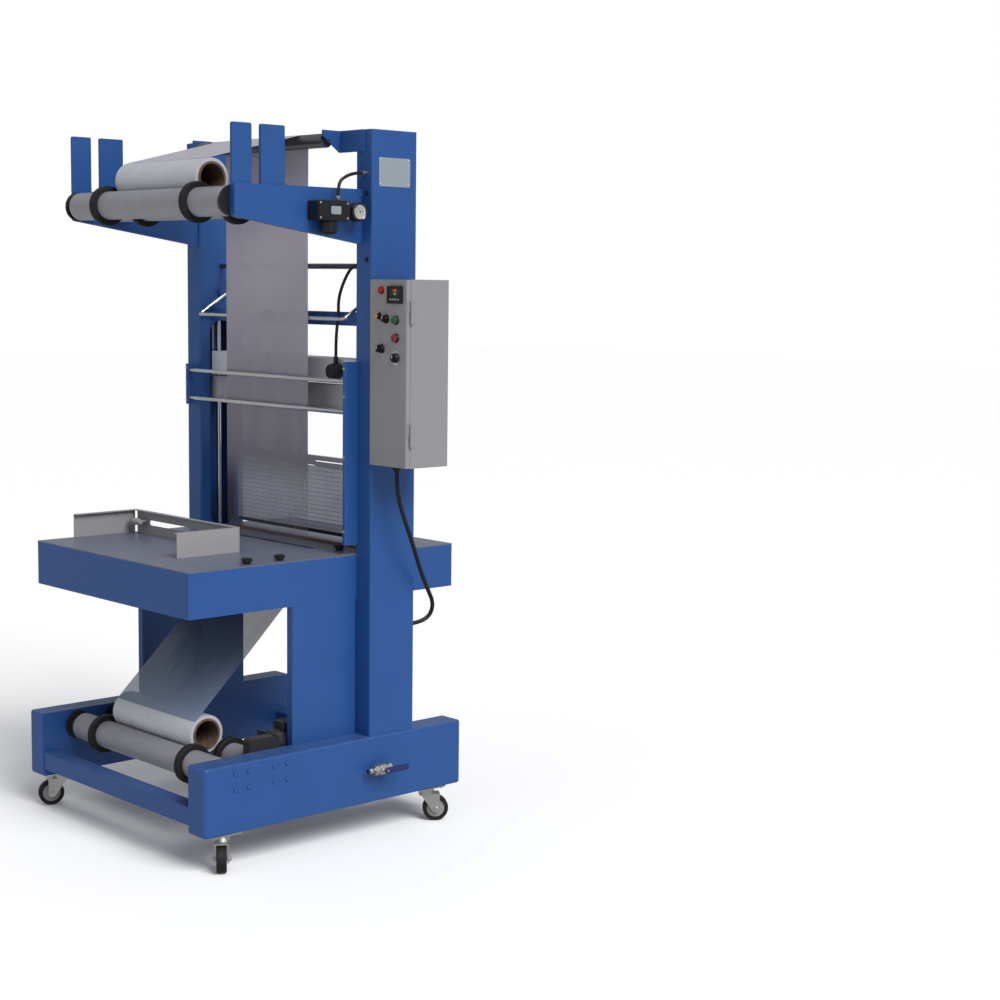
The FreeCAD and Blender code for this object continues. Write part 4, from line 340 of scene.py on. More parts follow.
SILVER_PLATE = metal("satin_plate", (0.62, 0.69, 0.76), 0.36, stretch=(1, 0.03, 1), scale=600.0)

card = Finish("roll_core_card")
turns = card.node("ShaderNodeTexWave", {"bands_direction": "DIAGONAL"},
                  {"Vector": card.place(), "Scale": 18.0, "Distortion": 0.6})
card.feed("Base Color", card.blend(turns, (0.105, 0.066, 0.042), (0.080, 0.050, 0.032)))
card.feed("Roughness", 0.75 + 0.1 * card.noise(120.0))
card.relief(card.noise(300.0), 0.2, 0.0004)
CARD = card.material
print("plastics ready")

# %% [markdown]
# ## Film
# A full roll of shrink film looks milky white because light scatters between hundreds of turns; the
# ends show the edges of the turns as fine rings. The curtain is a smoky grey veil that lets little
# through, with long soft creases whose hollows carry painted shade. It is painted darker low down and
# lighter high up, as painted shade and light, and it grows clearer where it hangs in front of the flap.
# The lower strip carries a painted highlight near its roll and painted shade that darkens it towards the table.

# %% Film finishes
TOP_ROLL_Y, BASE_ROLL_Y = -0.336 + 0.085, -0.364 + 0.085
RING_PHASE = 5200.0
CLEARING = 0.05
MESH_PITCH, THREAD = 0.013, 0.0009


def wound_film(name, axis_y, axis_z):
    wound = Finish(name, ior=1.45)
    split = {letter: wound.axis(letter) for letter in "YZ"}
    across, height = split["Y"] - axis_y, split["Z"] - axis_z
    radius = wound.node("ShaderNodeMath", {"operation": "SQRT"}, {0: across * across + height * height})
    rings = wound.node("ShaderNodeMath", {"operation": "SINE"}, {0: radius * RING_PHASE})
    bands = wound.noise(26.0, 3, (0.35, 1, 1))
    wound.feed("Base Color", wound.blend(bands, (0.36, 0.37, 0.41), (0.44, 0.45, 0.49)))
    wound.feed("Roughness", 0.22 + 0.18 * bands + 0.03 * rings)
    wound.relief(rings * 0.4 + bands * 2.0, 0.12, 0.0006)
    return wound.material


def web_film(name, alpha, above, below, low, high, clear_below=0):
    """A film whose colour changes from below to above between two heights, low and high.
    Under a third height, clear_below, it lets more through. Heights are in metres."""
    sheet = Finish(name, ior=1.45)
    creases = sheet.noise(9.0, 4, (2.4, 1, 0.35))
    haze = sheet.noise(3.0, 2)
    climb = sheet.node("ShaderNodeMapRange", values={0: sheet.axis("Z"), 1: low, 2: high})
    dense = sheet.node("ShaderNodeMapRange", values={
        0: sheet.axis("Z"), 1: clear_below - CLEARING, 2: clear_below + CLEARING})
    # Where the creases dip the colour is darker: painted shade in the crease hollows.
    foot, head = (sheet.blend(creases, tuple(part * 0.86 for part in colour), colour)
                  for colour in (below, above))
    # The colour change between the two heights is painted light and shade, not a change in the film itself.
    sheet.feed("Base Color", sheet.blend(climb, foot, head))
    sheet.feed("Roughness", 0.16 + 0.2 * haze)
    sheet.feed("Alpha", alpha + 0.06 * creases - 0.70 * (1 - dense))
    sheet.relief(creases, 0.5, 0.004)
    return sheet.material


ROLL_TOP = wound_film("wound_film_top", TOP_ROLL_Y, 1.8593)
ROLL_BASE = wound_film("wound_film_base", BASE_ROLL_Y, 0.3153)
UPPER_WEB = web_film("upper_film_web_painted_light_and_shade", 0.96, (0.39, 0.365, 0.43), (0.13, 0.127, 0.155),
                     1.06, 1.76, clear_below=1.02)
LOWER_WEB = web_film("lower_film_web_painted_light_and_shade", 0.80, (0.045, 0.055, 0.085), (0.18, 0.23, 0.33), 0.36, 0.60)

clear = Finish("clear_flap_sheet", ior=1.49)
veil = clear.noise(14.0, 3)
along, climb = (clear.node("ShaderNodeMath", {"operation": "PINGPONG"},
                           {0: clear.axis(letter), 1: MESH_PITCH / 2}) for letter in "XZ")
threads = clear.node("ShaderNodeMath", {"operation": "MAXIMUM"}, {0: along < THREAD, 1: climb < THREAD})
sheet_colour = clear.blend(veil, (0.52, 0.53, 0.66), (0.60, 0.61, 0.74))
clear.feed("Base Color", clear.blend(threads, sheet_colour, (0.27, 0.28, 0.35)))
clear.feed("Roughness", 0.14 + 0.2 * veil)
clear.feed("Alpha", 0.62 + 0.16 * veil + 0.2 * threads)
CLEAR = clear.material

glass = Finish("dial_glass", ior=1.5, transmission_weight=1.0)
glass.feed("Roughness", 0.02 + 0.02 * glass.noise(60.0))
GLASS = glass.material
print("film ready")

# %% [markdown]
# ## Which piece gets which finish
# A roller is one piece of the frame but three materials: a sleeve, black collars and a bright shaft.
# The faces are told apart by where they lie, so each face picks a slot from its own centre.

# %% Dress the nodes
MIDDLE_X = -0.08175
COLLAR_RADIUS, SLEEVE_RADIUS, SHAFT_RADIUS = 0.0402, 0.0388, 0.0125
COLLAR_AT, COLLAR_HALF = 0.229, 0.012
CORE_RADIUS, WHEEL_DISC = 0.0445, 0.0245


def dress(name, *materials, pick=None):
    """Gives a node its materials. pick(centre, normal) returns the slot's number for a face."""
    piece = frame["nodes"][name]
    piece.data.materials.clear()
    for material in materials:
        piece.data.materials.append(material)
    for face in piece.data.polygons:
        face.material_index = pick(face.center, face.normal) if pick else 0


def joint_named(name):
    return [joint for joint in frame["joints"] if joint["name"] == name][0]


def joint_at(name):
    return Vector(joint_named(name)["pos_m"])


def away(point, axis_point):
    """Distance from a line along X through axis_point."""
    return math.hypot(point.y - axis_point.y, point.z - axis_point.z)


def roller_slot(axle):
    """Tells a roller's faces apart: 0 is the sleeve, 1 the collars, 2 the shaft."""
    def pick(at, normal):
        reach = away(at, axle)
        collar_end = abs(normal.x) > 0.9 and abs(abs(at.x - MIDDLE_X) - COLLAR_AT) < COLLAR_HALF
        if reach > COLLAR_RADIUS or (reach > SLEEVE_RADIUS and collar_end):
            return 1
        return 2 if reach < SHAFT_RADIUS else 0
    return pick


for name in ("base_frame", "post_right", "post_left", "leg_panels", "table_frame", "arm_right", "arm_left"):
    dress(name, BLUE)
dress("table_top", DECK)
dress("box_door", GREY)
dress("pusher", PALE)
dress("jaw_cover", COVER)
box_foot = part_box("box_door")[0].z - 0.0012
dress("control_box", GREY, BLACK, pick=lambda at, normal: 1 if at.z < box_foot else 0)
for name in ("top_front_roller", "top_rear_roller", "base_front_roller", "base_rear_roller"):
    dress(name, ROLLER_GREY, RUBBER, POLISHED, pick=roller_slot(joint_at(name + "_spin")))
for name, wound in (("top_film_roll", ROLL_TOP), ("base_film_roll", ROLL_BASE)):
    axle = joint_at(name + "_spin")
    dress(name, wound, CARD, pick=lambda at, normal, axle=axle: 1 if away(at, axle) < CORE_RADIUS else 0)
dress("upper_web", UPPER_WEB)
dress("lower_web", LOWER_WEB)
dress("exit_flap", CLEAR, BLACK, COVER, pick=lambda at, normal:
      1 if at.z < 0.8366 else 2 if at.z > 1.029 else 0)
dress("top_idler", DARK_STEEL)
dress("dancer_bail", POLISHED)
dress("exit_rail", COVER)
dress("lower_jaw", EXTRUDED)
dress("jaw_beam", EXTRUDED, POLISHED, pick=lambda at, normal: 1 if at.z > 1.2845 else 0)
dress("heater_bar", EXTRUDED)
dress("silicone_strip", SILICONE)
dress("lift_units", GALVANISED, POLISHED, pick=lambda at, normal: 1 if 0.782 < at.z < 1.490 else 0)
dress("film_guards", BLUE, POLISHED, pick=lambda at, normal:
      0 if at.z > 1.9 or abs(at.x - MIDDLE_X) > 0.3868 else 1)
dress("cross_members", BLUE, DARK_STEEL, pick=lambda at, normal: 1 if at.z > 1.6 else 0)
dress("jaw_valve", BLACK)
dress("roller_bearings", BLACK)
dress("caster_plates", ZINC)
for corner in ("front_right", "rear_right", "front_left", "rear_left"):
    dress("caster_fork_" + corner, ZINC)
    hub = joint_at("wheel_spin_" + corner)
    dress("caster_wheel_" + corner, RUBBER, MODULE, pick=lambda at, normal, hub=hub:
          1 if (at - hub).length < WHEEL_DISC else 0)
dress("box_internals", CREAM, GALVANISED, MODULE, pick=lambda at, normal:
      1 if at.y > 0.2290 or at.z < 1.25 else 2 if at.z > 1.4 else 0)
dress("door_instruments", BLACK, RED_LENS, AMBER_LENS, pick=lambda at, normal:
      1 if at.z > 1.55 and at.x < 0.45 else 2 if at.z > 1.46 and at.x < 0.42 else 0)
for name in ("mode_selector", "power_selector", "timer_knob", "knob_first", "knob_second", "knob_third",
             "regulator_knob"):
    dress(name, BLACK)
dress("start_button", GREEN)
dress("stop_button", RED)
dress("regulator", BLACK, NICKEL, pick=lambda at, normal: 1 if at.z > 1.805 else 0)
dress("ball_valve", NICKEL)
dress("valve_lever", NAVY)
dress("feed_motor", CASTING)
print("dressed", sum(1 for piece in frame["nodes"].values() if piece.data.materials))

# %% [markdown]
# ## Hoses and cable
# The machine holds three flexible lines: an air hose from the post to the regulator, one from the
# post to the valve on the jaw cover, and the cable from the control box into the post. Each is one
# smooth spline with a round bevel, through the same points as the frame's own tubes.

# %% Flexible lines
def flexible_line(name, points, radius, node, material, slot_name):
    curve = bpy.data.curves.new(name, "CURVE")
    curve.dimensions = "3D"
    curve.bevel_depth = radius
    curve.bevel_resolution = 4
    curve.use_fill_caps = True
    curve.resolution_u = 10
    spline = curve.splines.new("NURBS")
    spline.points.add(len(points) - 1)
    for control, place in zip(spline.points, points):
        control.co = (*place, 1)
    spline.order_u = 3
    spline.use_endpoint_u = True
    curve.materials.append(material)
    line = bpy.data.objects.new(name, curve)
    bpy.context.scene.collection.objects.link(line)
    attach(line, "frame")
    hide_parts(node)
    return line


regulator_points = [
    (0.35825, -0.001, 1.814), (0.35825, -0.001, 1.840), (0.35625, 0.013, 1.862),
    (0.34825, 0.063, 1.880), (0.34825, 0.089, 1.880),
]
jaw_points = [
    (0.30525, 0.131, 1.632), (0.26125, 0.131, 1.632), (0.22125, 0.131, 1.592), (0.19125, 0.131, 1.536),
    (0.19225, 0.131, 1.486), (0.18025, 0.131, 1.428), (0.18025, 0.131, 1.368),
]
cable_points = [
    (0.44025, 0.145, 1.058), (0.44025, 0.145, 0.99846), (0.44625, 0.165, 0.92976), (0.44425, 0.200, 0.8519),
    (0.42625, 0.243, 0.77404), (0.40025, 0.293, 0.70992), (0.37625, 0.343, 0.648), (0.35625, 0.327, 0.600),
    (0.35625, 0.265, 0.600),
]
LINES = (
    ("regulator_air_hose", regulator_points, 0.0045, "regulator_hose", BLACK, "hose_plastic", "medium", 0.130),
    ("jaw_air_hose", jaw_points, 0.0045, "jaw_hose", BLACK, "hose_plastic", "medium", 0.330),
    ("box_cable", cable_points, 0.006, "control_cable", SHEATH, "cable_rubber", "stiff", 0.581),
)
for name, points, radius, node, material, slot_name, stiffness, length in LINES:
    line = flexible_line(name, points, radius, node, material, slot_name)
    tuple(points[0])
print("lines:", [entry[0] for entry in LINES])

# %% [markdown]
# ## Tools for modelling
# New pieces are modelled the way a person would: add a primitive at its size and place, select
# faces or edges by where they are, then extrude, inset and bevel. These helpers only save typing.
# The last one moves an object's place into its mesh, names it, and says which body carries it.

# %% Modelling helpers
def nothing_selected():
    if bpy.context.object and bpy.context.object.mode == "EDIT":
        bpy.ops.object.mode_set(mode="OBJECT")
    bpy.ops.object.select_all(action="DESELECT")


def pick_faces(test):
    """Selects the faces whose centre and normal pass the test, and enters edit mode."""
    bpy.ops.object.mode_set(mode="EDIT")
    bpy.ops.mesh.select_mode(type="FACE")
    bpy.ops.mesh.select_all(action="DESELECT")
    bpy.ops.object.mode_set(mode="OBJECT")
    for face in bpy.context.object.data.polygons:
        face.select = bool(test(face.center, face.normal))
    bpy.ops.object.mode_set(mode="EDIT")


def inset_faces(test, thickness, shift):
    """Insets the faces that pass the test and moves them: a chamfer or a shallow step."""
    pick_faces(test)
    bpy.ops.mesh.inset(thickness=thickness)
    bpy.ops.transform.translate(value=shift)
    bpy.ops.object.mode_set(mode="OBJECT")


def add_disc(radius, depth, place, axis="Z", sides=24):
    nothing_selected()
    turn = {"X": (0, math.pi / 2, 0), "Y": (math.pi / 2, 0, 0), "Z": (0, 0, 0)}[axis]
    bpy.ops.mesh.primitive_cylinder_add(vertices=sides, radius=radius, depth=depth,
                                        location=place, rotation=turn)
    bpy.ops.object.transform_apply(location=False, rotation=True, scale=False)
    return bpy.context.object


def add_plate(size, place):
    nothing_selected()
    bpy.ops.mesh.primitive_cube_add(size=1, location=place)
    bpy.context.object.scale = size
    bpy.ops.object.transform_apply(location=False, rotation=False, scale=True)
    return bpy.context.object


def bevelled(piece, width, segments=2, angle=40):
    """Rounds the sharp edges of a piece with an applied Bevel modifier."""
    nothing_selected()
    piece.select_set(True)
    bpy.context.view_layer.objects.active = piece
    soften = piece.modifiers.new("soften", "BEVEL")
    soften.width = width
    soften.segments = segments
    soften.limit_method = "ANGLE"
    soften.angle_limit = math.radians(angle)
    bpy.ops.object.modifier_apply(modifier=soften.name)
    return piece


def joined(name, pieces):
    nothing_selected()
    for piece in pieces:
        piece.select_set(True)
    bpy.context.view_layer.objects.active = pieces[0]
    if len(pieces) > 1:
        bpy.ops.object.join()
    bpy.context.object.name = name
    return bpy.context.object


def hand_over(piece, name, body, material, smooth=35):
    """Names a finished piece, puts its place into its mesh and lets it ride on a body."""
    nothing_selected()
    piece.select_set(True)
    bpy.context.view_layer.objects.active = piece
    bpy.ops.object.transform_apply(location=True, rotation=True, scale=True)
    if smooth:
        bpy.ops.object.shade_smooth_by_angle(angle=math.radians(smooth))
    piece.name = name
    piece.data.materials.clear()
    piece.data.materials.append(material)
    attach(piece, body)


def machine(x, y, z):
    """A place measured from the middle of the frame between the posts, in millimetres."""
    return Vector(((x - 81.75) / 1000, (y + 85) / 1000, z / 1000))


print("helpers ready")

# %% [markdown]
# ## Fasteners
# A hexagon bolt is a six-sided head with a chamfered top on a washer. It is modelled once, with its
# head along Z, and every fastener on the machine is a copy of that mesh turned to its face.

# %% One bolt, and its copies
def bolt_mesh():
    head = add_disc(1.0, 0.7, (0, 0, 0.55), sides=6)
    inset_faces(lambda at, normal: normal.z > 0.9, 0.12, (0, 0, 0.1))
    washer = add_disc(1.35, 0.2, (0, 0, 0.1), sides=20)
    whole = joined("bolt_pattern_piece", [head, washer])
    bpy.ops.object.transform_apply(location=True, rotation=False, scale=False)
    return whole


pattern_bolt = bolt_mesh()
pattern_bolt_data = pattern_bolt.data.copy()
bpy.data.objects.remove(pattern_bolt)


def bolts(name, body, radius, facing, places, material=ZINC):
    """Copies of the bolt on a face. facing is the way the heads look."""
    turn = Vector(facing).to_track_quat("Z", "Y").to_matrix().to_4x4()
    copies = []
    for place in places:
        data = pattern_bolt_data.copy()
        data.transform(Matrix.Translation(place) @ turn @ Matrix.Scale(radius, 4))
        copy = bpy.data.objects.new(name, data)
        bpy.context.scene.collection.objects.link(copy)
        copies.append(copy)
    hand_over(joined(name, copies), name, body, material, smooth=0)


OUT, IN, FRONT, BACK, TOP = (1, 0, 0), (-1, 0, 0), (0, -1, 0), (0, 1, 0), (0, 0, 1)
FLANGE_REACH = 34
FLANGE_ANGLES = [math.radians(45 + 90 * turn) for turn in range(4)]
FLANGE_BOLTS = [(FLANGE_REACH * math.cos(angle), FLANGE_REACH * math.sin(angle)) for angle in FLANGE_ANGLES]
CRADLES = {"arm": (395, (-400, -272), 1790), "beam": (387, (-428, -300), 246)}
for place, (mount, axes, height) in CRADLES.items():
    for side, sign, inward in (("right", 1, IN), ("left", -1, OUT)):
        held = [y for y in axes if (place, side, y) != ("beam", "right", -300)]
        bolts(f"{place}_bearing_bolts_{side}", "frame", 0.0042, inward, [
            machine(sign * (mount - 6), y + dy, height + dz) for y in held for dy, dz in FLANGE_BOLTS], BLACK)
bolts("beam_clamp_bolts", "frame", 0.0045, OUT, [
    machine(465, y + dy, 246 + dz) for y in (-428, -300) for dy in (-22, 22) for dz in (-22, 22)],
    BLUE)
bolts("gearbox_bolts", "frame", 0.0045, IN, [
    machine(354, -300 + dy, 246 + dz) for dy in (-36, 36) for dz in (-36, 60)])
print("bolts done")

# %% [markdown]
# ## The film curtain
# The upper film leaves the top of its roll, turns over the idler and hangs straight down to the
# slot in the deck. The lower film comes up behind the guide bar to meet it. Both are one flat strip
# laid along that path, so the strip is a grid whose rows follow the path, with long soft creases
# that fade out where a roller holds the film tight. The creases swell towards the operator, so the
# film stays clear of the bail behind it.

# %% Film strips
FILM_HALF, WEB_Y, FILM_THICK = 0.203, -0.008 + 0.085, 0.0006
ROLL_RADIUS, IDLER_RADIUS, BAR_RADIUS, FILM_GAP = 0.0543, 0.02, 0.01, 0.00003
DECK_Z = 0.814
RIPPLES = ((1.0, 0.3), (2.6, 1.9), (4.7, 4.0))
EASE = 6.0


def tangent_path(start, idler, idler_radius, roll, roll_radius, crossed):
    """Points along a strip: where it leaves the roll, straight to the idler, round it, to start."""
    apart = math.dist(roll, idler)
    heading = math.atan2(idler[1] - roll[1], idler[0] - roll[0])
    if crossed:
        leave = heading + math.acos((idler_radius + roll_radius) / apart)
        begin, steps = (leave + math.pi + math.pi) % (2 * math.pi) - math.pi, 10
    else:
        leave = heading + math.acos((roll_radius - idler_radius) / apart)
        begin, steps = leave, 12
    points = [(roll[0] + roll_radius * math.cos(leave), roll[1] + roll_radius * math.sin(leave))]
    for step in range(steps + 1):
        angle = begin - begin * step / steps
        points.append((idler[0] + idler_radius * math.cos(angle), idler[1] + idler_radius * math.sin(angle)))
    points.append(start)
    return points


def spaced(points, gap):
    """The same path with long runs divided."""
    dense = [points[0]]
    for before, after in zip(points, points[1:]):
        pieces = max(1, round(math.dist(before, after) / gap))
        for step in range(1, pieces + 1):
            dense.append((before[0] + (after[0] - before[0]) * step / pieces,
                          before[1] + (after[1] - before[1]) * step / pieces))
    return dense


def film_strip(name, node, points, free, depth, material):
    """free gives the stretch of the path, in metres from the roll, that no roller holds tight."""
    rows = spaced(points, 0.02)
    columns = 28
    nothing_selected()
    bpy.ops.mesh.primitive_grid_add(x_subdivisions=columns, y_subdivisions=len(rows) - 1, size=1,
                                    location=(0, 0, 0))
    strip = bpy.context.object
    walked = [0.0]
    for before, after in zip(rows, rows[1:]):
        walked.append(walked[-1] + math.dist(before, after))
    total = walked[-1]
    for vertex in strip.data.vertices:
        row = round((vertex.co.y + 0.5) * (len(rows) - 1))
        across = vertex.co.x * 2
        before, after = rows[max(0, row - 1)], rows[min(len(rows) - 1, row + 1)]
        along = Vector((0, after[0] - before[0], after[1] - before[1])).normalized()
        outward = Vector((0, along.z, -along.y))
        share = walked[row] / total
        slack = max(0.0, min(1.0, EASE * (walked[row] - free[0]), EASE * (free[1] - walked[row])))
        wave = sum(math.sin(number * 2.3 * across + phase + 1.4 * share) for number, phase in RIPPLES) / 6 + 0.5
        place = Vector((MIDDLE_X + across * FILM_HALF, rows[row][0], rows[row][1]))
        vertex.co = place + outward * (depth * slack * wave)
    strip.data.update()
    hand_over(strip, name, "frame", material, smooth=180)
    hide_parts(node)


half_film = FILM_THICK / 2
top_roll = (TOP_ROLL_Y, joint_at("top_film_roll_spin").z)
idler_spot = (joint_at("top_idler_spin").y, joint_at("top_idler_spin").z)
idler_reach = IDLER_RADIUS + FILM_GAP + half_film
upper_points = tangent_path((idler_spot[0] + idler_reach, DECK_Z), idler_spot, idler_reach,
                            top_roll, ROLL_RADIUS + half_film, False)
film_strip("upper_film", "upper_web", upper_points, (0.43, 1.50), 0.0022, UPPER_WEB)
base_roll = (BASE_ROLL_Y, joint_at("base_film_roll_spin").z)
bar_spot = (WEB_Y - 0.0106, 0.736)
bar_reach = BAR_RADIUS + FILM_GAP + half_film
lower_points = tangent_path((bar_spot[0] + bar_reach, DECK_Z), bar_spot, bar_reach,
                            base_roll, ROLL_RADIUS + half_film, True)
film_strip("lower_film", "lower_web", lower_points, (0.05, 0.46), 0.0018, LOWER_WEB)
print("film strips:", len(upper_points), len(lower_points))

# %% [markdown]
# ## Dial of the pressure gauge
# A gauge of this kind has a white dial with a printed scale over three quarters of a turn, a black
# pointer on a brass boss, and a thin glass in a black bezel. One tick is modelled and copied round.

# %% Gauge dial
SCALE_FROM, SCALE_SWEEP = -135, 270
TEXT_DEPTH, PRINT_LIFT = 0.00012, 0.0007


def copies(data, name, places):
    """One object made of copies of a mesh, each at its own matrix."""
    made = []
    for place in places:
        own = data.copy()
        own.transform(place)
        piece = bpy.data.objects.new(name, own)
        bpy.context.scene.collection.objects.link(piece)
        made.append(piece)
    return joined(name, made)


def taken_mesh(piece):
    """The mesh of a pattern piece, whose object is no longer needed."""
    data = piece.data.copy()
    bpy.data.objects.remove(piece)
    return data


def raised_text(words, height, place, facing):
    """Numbers as a thin raised mesh. facing is the way that they look."""
    nothing_selected()
    bpy.ops.object.text_add(location=(0, 0, 0))
    letters = bpy.context.object
    letters.data.body = words
    letters.data.size = height
    letters.data.align_x, letters.data.align_y = "CENTER", "CENTER"
    letters.data.extrude = TEXT_DEPTH
    letters.data.resolution_u = 3
    bpy.ops.object.convert(target="MESH")
    letters = bpy.context.object
    turn = (math.pi / 2, 0, math.pi / 2) if facing == "X" else (math.pi / 2, 0, 0)
    letters.rotation_euler = turn
    letters.location = place
    bpy.ops.object.transform_apply(location=True, rotation=True, scale=True)
    return letters


def ring_of_numbers(name, body, words, height, centre, radius, facing):
    """Plain numbers round a scale of three quarters of a turn, as one black piece."""
    pieces = []
    for step, word in enumerate(words):
        angle = math.radians(SCALE_FROM + SCALE_SWEEP * step / (len(words) - 1))
        across, upright = radius * math.sin(angle), radius * math.cos(angle)
        lift = (PRINT_LIFT, across, upright) if facing == "X" else (across, -PRINT_LIFT, upright)
        pieces.append(raised_text(word, height, centre + Vector(lift), facing))
    hand_over(joined(name, pieces), name, body, BLACK, smooth=0)


DIAL_CENTRE = machine(465, -30, 1772)
dial = add_disc(0.0190, 0.0008, DIAL_CENTRE + Vector((0.0004, 0, 0)), "X", 48)
inset_faces(lambda at, normal: normal.x > 0.9, 0.0012, (-0.0002, 0, 0))
hand_over(dial, "gauge_dial", "frame", WHITE)

tick = taken_mesh(bevelled(add_plate((0.00025, 0.0006, 0.0027), (0, 0, 0.0148)), 0.0001, 1))
sweep = [math.radians(SCALE_FROM + SCALE_SWEEP * step / 20) for step in range(21)]
ticks = copies(tick, "gauge_ticks", [
    Matrix.Translation(DIAL_CENTRE + Vector((PRINT_LIFT, 0, 0))) @ Matrix.Rotation(angle, 4, "X")
    @ Matrix.Scale(1.0 if number % 4 == 0 else 0.985, 4)
    for number, angle in enumerate(sweep)])
hand_over(ticks, "gauge_ticks", "frame", BLACK, smooth=0)
ring_of_numbers("gauge_numbers", "frame", [str(2 * step) for step in range(6)], 0.0044,
                DIAL_CENTRE, 0.0104, "X")
pointer = add_plate((0.0003, 0.0010, 0.0170), (0, 0, 0.0050))
pick_faces(lambda at, normal: normal.z > 0.9)
bpy.ops.transform.resize(value=(1, 0.25, 1))
bpy.ops.object.mode_set(mode="OBJECT")
boss = bevelled(add_disc(0.0026, 0.0010, (0, 0, 0), "X", 20), 0.0003)
pointer = joined("gauge_pointer", [pointer, boss])
POINTER_ANGLE = math.radians(38)
pointer.matrix_world = (Matrix.Translation(DIAL_CENTRE + Vector((0.0011, 0, 0)))
                        @ Matrix.Rotation(POINTER_ANGLE, 4, "X") @ pointer.matrix_world)
hand_over(pointer, "gauge_pointer", "frame", BLACK)
pane = bevelled(add_disc(0.0226, 0.0006, DIAL_CENTRE + Vector((0.0018, 0, 0)), "X", 48), 0.0002)
hand_over(pane, "gauge_glass", "frame", GLASS)
print("gauge dial with", len(sweep), "ticks")

# %% [markdown]
# ## Plates
# The near post carries a plain metal plate, riveted at its corners. It stays blank. The regulator
# has a small satin window plate on its body.

# %% Post plate and regulator window
RIVET_IN = 0.006


def riveted_plate(name, centre, depth, height, material, rivets=True):
    """A thin plate on a face that looks along +X, with rounded corners and four rivets."""
    sheet = add_plate((0.0010, depth, height), centre + Vector((0.0005, 0, 0)))
    bpy.ops.object.mode_set(mode="EDIT")
    bpy.ops.mesh.select_all(action="DESELECT")
    bpy.ops.object.mode_set(mode="OBJECT")
    for edge in sheet.data.edges:
        ends = [sheet.data.vertices[index].co for index in edge.vertices]
        edge.select = abs(ends[0].x - ends[1].x) > 0.0005
    bpy.ops.object.mode_set(mode="EDIT")
    bpy.ops.mesh.select_mode(type="EDGE")
    bpy.ops.mesh.bevel(offset=0.004, segments=4)
    bpy.ops.object.mode_set(mode="OBJECT")
    hand_over(bevelled(sheet, 0.0002, 1, 60), name, "frame", material)
    if rivets:
        rivet = add_disc(0.0021, 0.0012, (0, 0, 0), "X", 14)
        inset_faces(lambda at, normal: normal.x > 0.9, 0.0007, (0.0005, 0, 0))
        data = taken_mesh(rivet)
        spots = [Matrix.Translation(centre + Vector((0.0014, y, z)))
                 for y in (-depth / 2 + RIVET_IN, depth / 2 - RIVET_IN)
                 for z in (-height / 2 + RIVET_IN, height / 2 - RIVET_IN)]
        hand_over(copies(data, name + "_rivets", spots), name + "_rivets", "frame", ZINC)


riveted_plate("post_plate", machine(458, 98, 1885), 0.112, 0.079, SILVER_PLATE)
riveted_plate("regulator_window", machine(465, -112, 1774), 0.034, 0.022, SILVER_PLATE, rivets=False)
regulator_screws = [machine(465, y, z) for y in (-164, -72) for z in (1753, 1793)]
bolts("regulator_screws", "frame", 0.0024, OUT, regulator_screws)
print("plates done")

# %% [markdown]
# ## Fitting on the ball valve
# The open end of the valve takes a push-in fitting for the air line: a plated barrel that tapers at
# its mouth, and a dark blue release ring with the hole for the hose.

# %% Push-in fitting
valve_low, valve_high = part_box("ball_valve")
VALVE_MOUTH = Vector((machine(491, 0, 0).x, valve_low.y, (valve_low.z + valve_high.z) / 2))
barrel = add_disc(0.0088, 0.0150, VALVE_MOUTH - Vector((0, 0.0076, 0)), "Y", 32)
inset_faces(lambda at, normal: normal.y < -0.9, 0.0012, (0, -0.0008, 0))
hand_over(bevelled(barrel, 0.0004), "push_in_barrel", "frame", NICKEL)
ring = add_disc(0.0066, 0.0050, VALVE_MOUTH - Vector((0, 0.0185, 0)), "Y", 28)
pick_faces(lambda at, normal: normal.y < -0.9)
bpy.ops.mesh.inset(thickness=0.0024)
bpy.ops.mesh.extrude_region_move(TRANSFORM_OT_translate={"value": (0, 0.0042, 0)})
bpy.ops.object.mode_set(mode="OBJECT")
hand_over(bevelled(ring, 0.0004), "push_in_ring", "frame", NAVY)
print("fitting at", [round(v, 4) for v in VALVE_MOUTH])

# %% [markdown]
# ## Door of the control box
# The temperature controller shows two rows of plain figures behind a dark window, with a row of
# small keys under it. The rotary switches have a white mark on their grip, and the timer has a
# round scale plate with plain numbers.

# %% Controller, marks and scale
CONTROLLER = machine(571.6, 4.5, 1548)
window = add_plate((0.044, 0.0008, 0.021), CONTROLLER + Vector((0, -0.0002, 0.0065)))
inset_faces(lambda at, normal: normal.y < -0.9, 0.0010, (0, 0.0003, 0))
dark_window = Finish("display_window", ior=1.5, coat_roughness=0.05)
dark_window.feed("Base Color", dark_window.blend(
    dark_window.noise(30.0), (0.006, 0.006, 0.007), (0.012, 0.010, 0.011)))
dark_window.feed("Roughness", 0.06 + 0.05 * dark_window.noise(80.0))
hand_over(window, "controller_window", "door", dark_window.material)


def dimmed(colour, share):
    return tuple(share * part for part in colour)


def glowing(name, colour):
    lit = Finish(name)
    lit.feed("Base Color", lit.blend(lit.noise(200.0), dimmed(colour, 0.4), dimmed(colour, 0.5)))
    lit.feed("Emission Color", lit.blend(lit.noise(150.0), colour, dimmed(colour, 0.9)))
    lit.shader.inputs["Emission Strength"].default_value = 1.2
    return lit.material


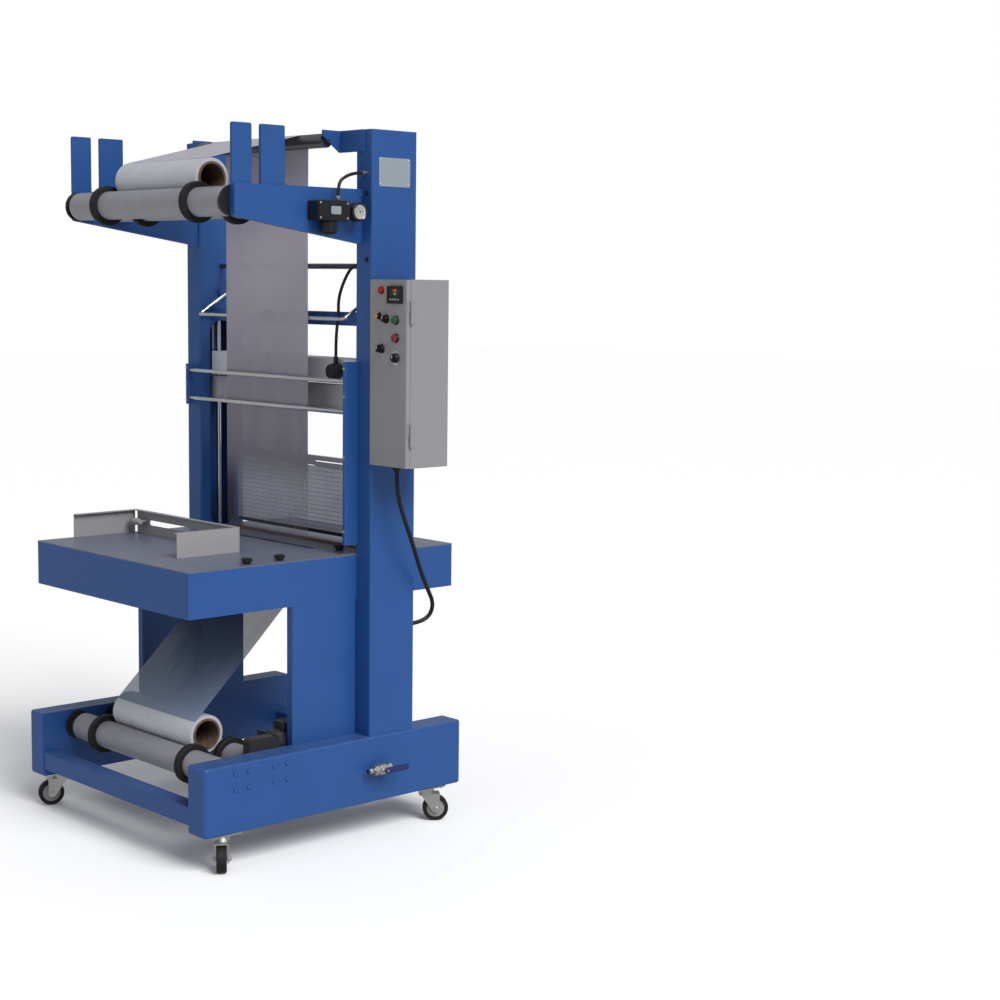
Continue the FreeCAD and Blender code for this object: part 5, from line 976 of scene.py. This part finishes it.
upper_row = raised_text("150", 0.0100, CONTROLLER + Vector((0.002, -0.0004, 0.0112)), "Y")
hand_over(upper_row, "controller_reading", "door",
          glowing("red_figures", (0.9, 0.05, 0.02)), smooth=0)
lower_row = raised_text("148", 0.0070, CONTROLLER + Vector((0.002, -0.0004, 0.0022)), "Y")
hand_over(lower_row, "controller_setting", "door",
          glowing("green_figures", (0.05, 0.7, 0.15)), smooth=0)
key = add_plate((0.0070, 0.0012, 0.0050), (0, 0, 0))
inset_faces(lambda at, normal: normal.y < -0.9, 0.0006, (0, -0.0003, 0))
key_mesh = taken_mesh(bevelled(key, 0.0003, 2))
keys = copies(key_mesh, "controller_keys", [
    Matrix.Translation(CONTROLLER + Vector((-0.0165 + 0.011 * number, -0.0005, -0.0125)))
    for number in range(4)])
hand_over(keys, "controller_keys", "door", MODULE)

GRIP_MARKS = (
    ("mode_selector", (531.6, -6, 1482), 0.0060),
    ("power_selector", (512.4, -9, 1400), 0.0075),
    ("timer_knob", (573.2, -4, 1376), 0.0085),
)
for body, centre, length in GRIP_MARKS:
    at = machine(*centre)
    mark = add_plate((0.0014, 0.0004, length), at + Vector((0, -0.0001, 0.0035)))
    hand_over(bevelled(mark, 0.00015, 1), body + "_mark", body, WHITE)

TIMER = machine(573.2, 11, 1376)
scale_plate = add_disc(0.0205, 0.0007, TIMER - Vector((0, 0.00036, 0)), "Y", 48)
pick_faces(lambda at, normal: abs(normal.y) > 0.9)
bpy.ops.mesh.inset(thickness=0.0074)
bpy.ops.mesh.bridge_edge_loops()
bpy.ops.object.mode_set(mode="OBJECT")
hand_over(scale_plate, "timer_scale", "door", SILVER_PLATE)
ring_of_numbers("timer_numbers", "door", [str(number) for number in range(11)], 0.0046, TIMER, 0.0168, "Y")
print("door details done")

# %% [markdown]
# ## Small fasteners on casters, guards and table
# Each caster plate hangs on four bolts, each wheel on an axle bolt, and the strips that guard the
# film are screwed to the posts.

# %% More fasteners
CORNERS = {"front_right": (426, -468), "rear_right": (426, 259),
           "front_left": (-426, -468), "rear_left": (-426, 259)}
AXLE_END = 0.0200
plate_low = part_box("caster_plates")[0].z
bolts("caster_plate_bolts", "frame", 0.0042, (0, 0, -1), [
    Vector((machine(x, y, 0).x + dx, machine(x, y, 0).y + dy, plate_low))
    for x, y in CORNERS.values() for dx in (-0.026, 0.026) for dy in (-0.036, 0.036)])
for corner in CORNERS:
    hub, along = joint_at("wheel_spin_" + corner), Vector(joint_named("wheel_spin_" + corner)["axis"])
    for number, way in enumerate((1, -1)):
        bolts(f"axle_nut_{corner}_{number + 1}", "fork_" + corner, 0.0062, along * way,
              [hub + along * way * AXLE_END])
bolts("guard_strip_screws", "frame", 0.0034, FRONT,
      [machine(393.5, -28, z) for z in (880, 1090, 1262, 1340)]
      + [machine(-393.5, -28, z) for z in (1212, 1262, 1312)])
bolts("post_front_screws", "frame", 0.0050, FRONT, [machine(436, 18, z) for z in (1826, 1644)], BLACK)
bolts("cross_member_bolts", "frame", 0.0050, BACK, [machine(x, 84, 1476.5) for x in (-372, 372)])
bolts("jaw_cover_bolts", "frame", 0.0045, TOP,
      [machine(x, y, 1362) for x in (-372, 372) for y in (80, 118)])
print("fasteners done")
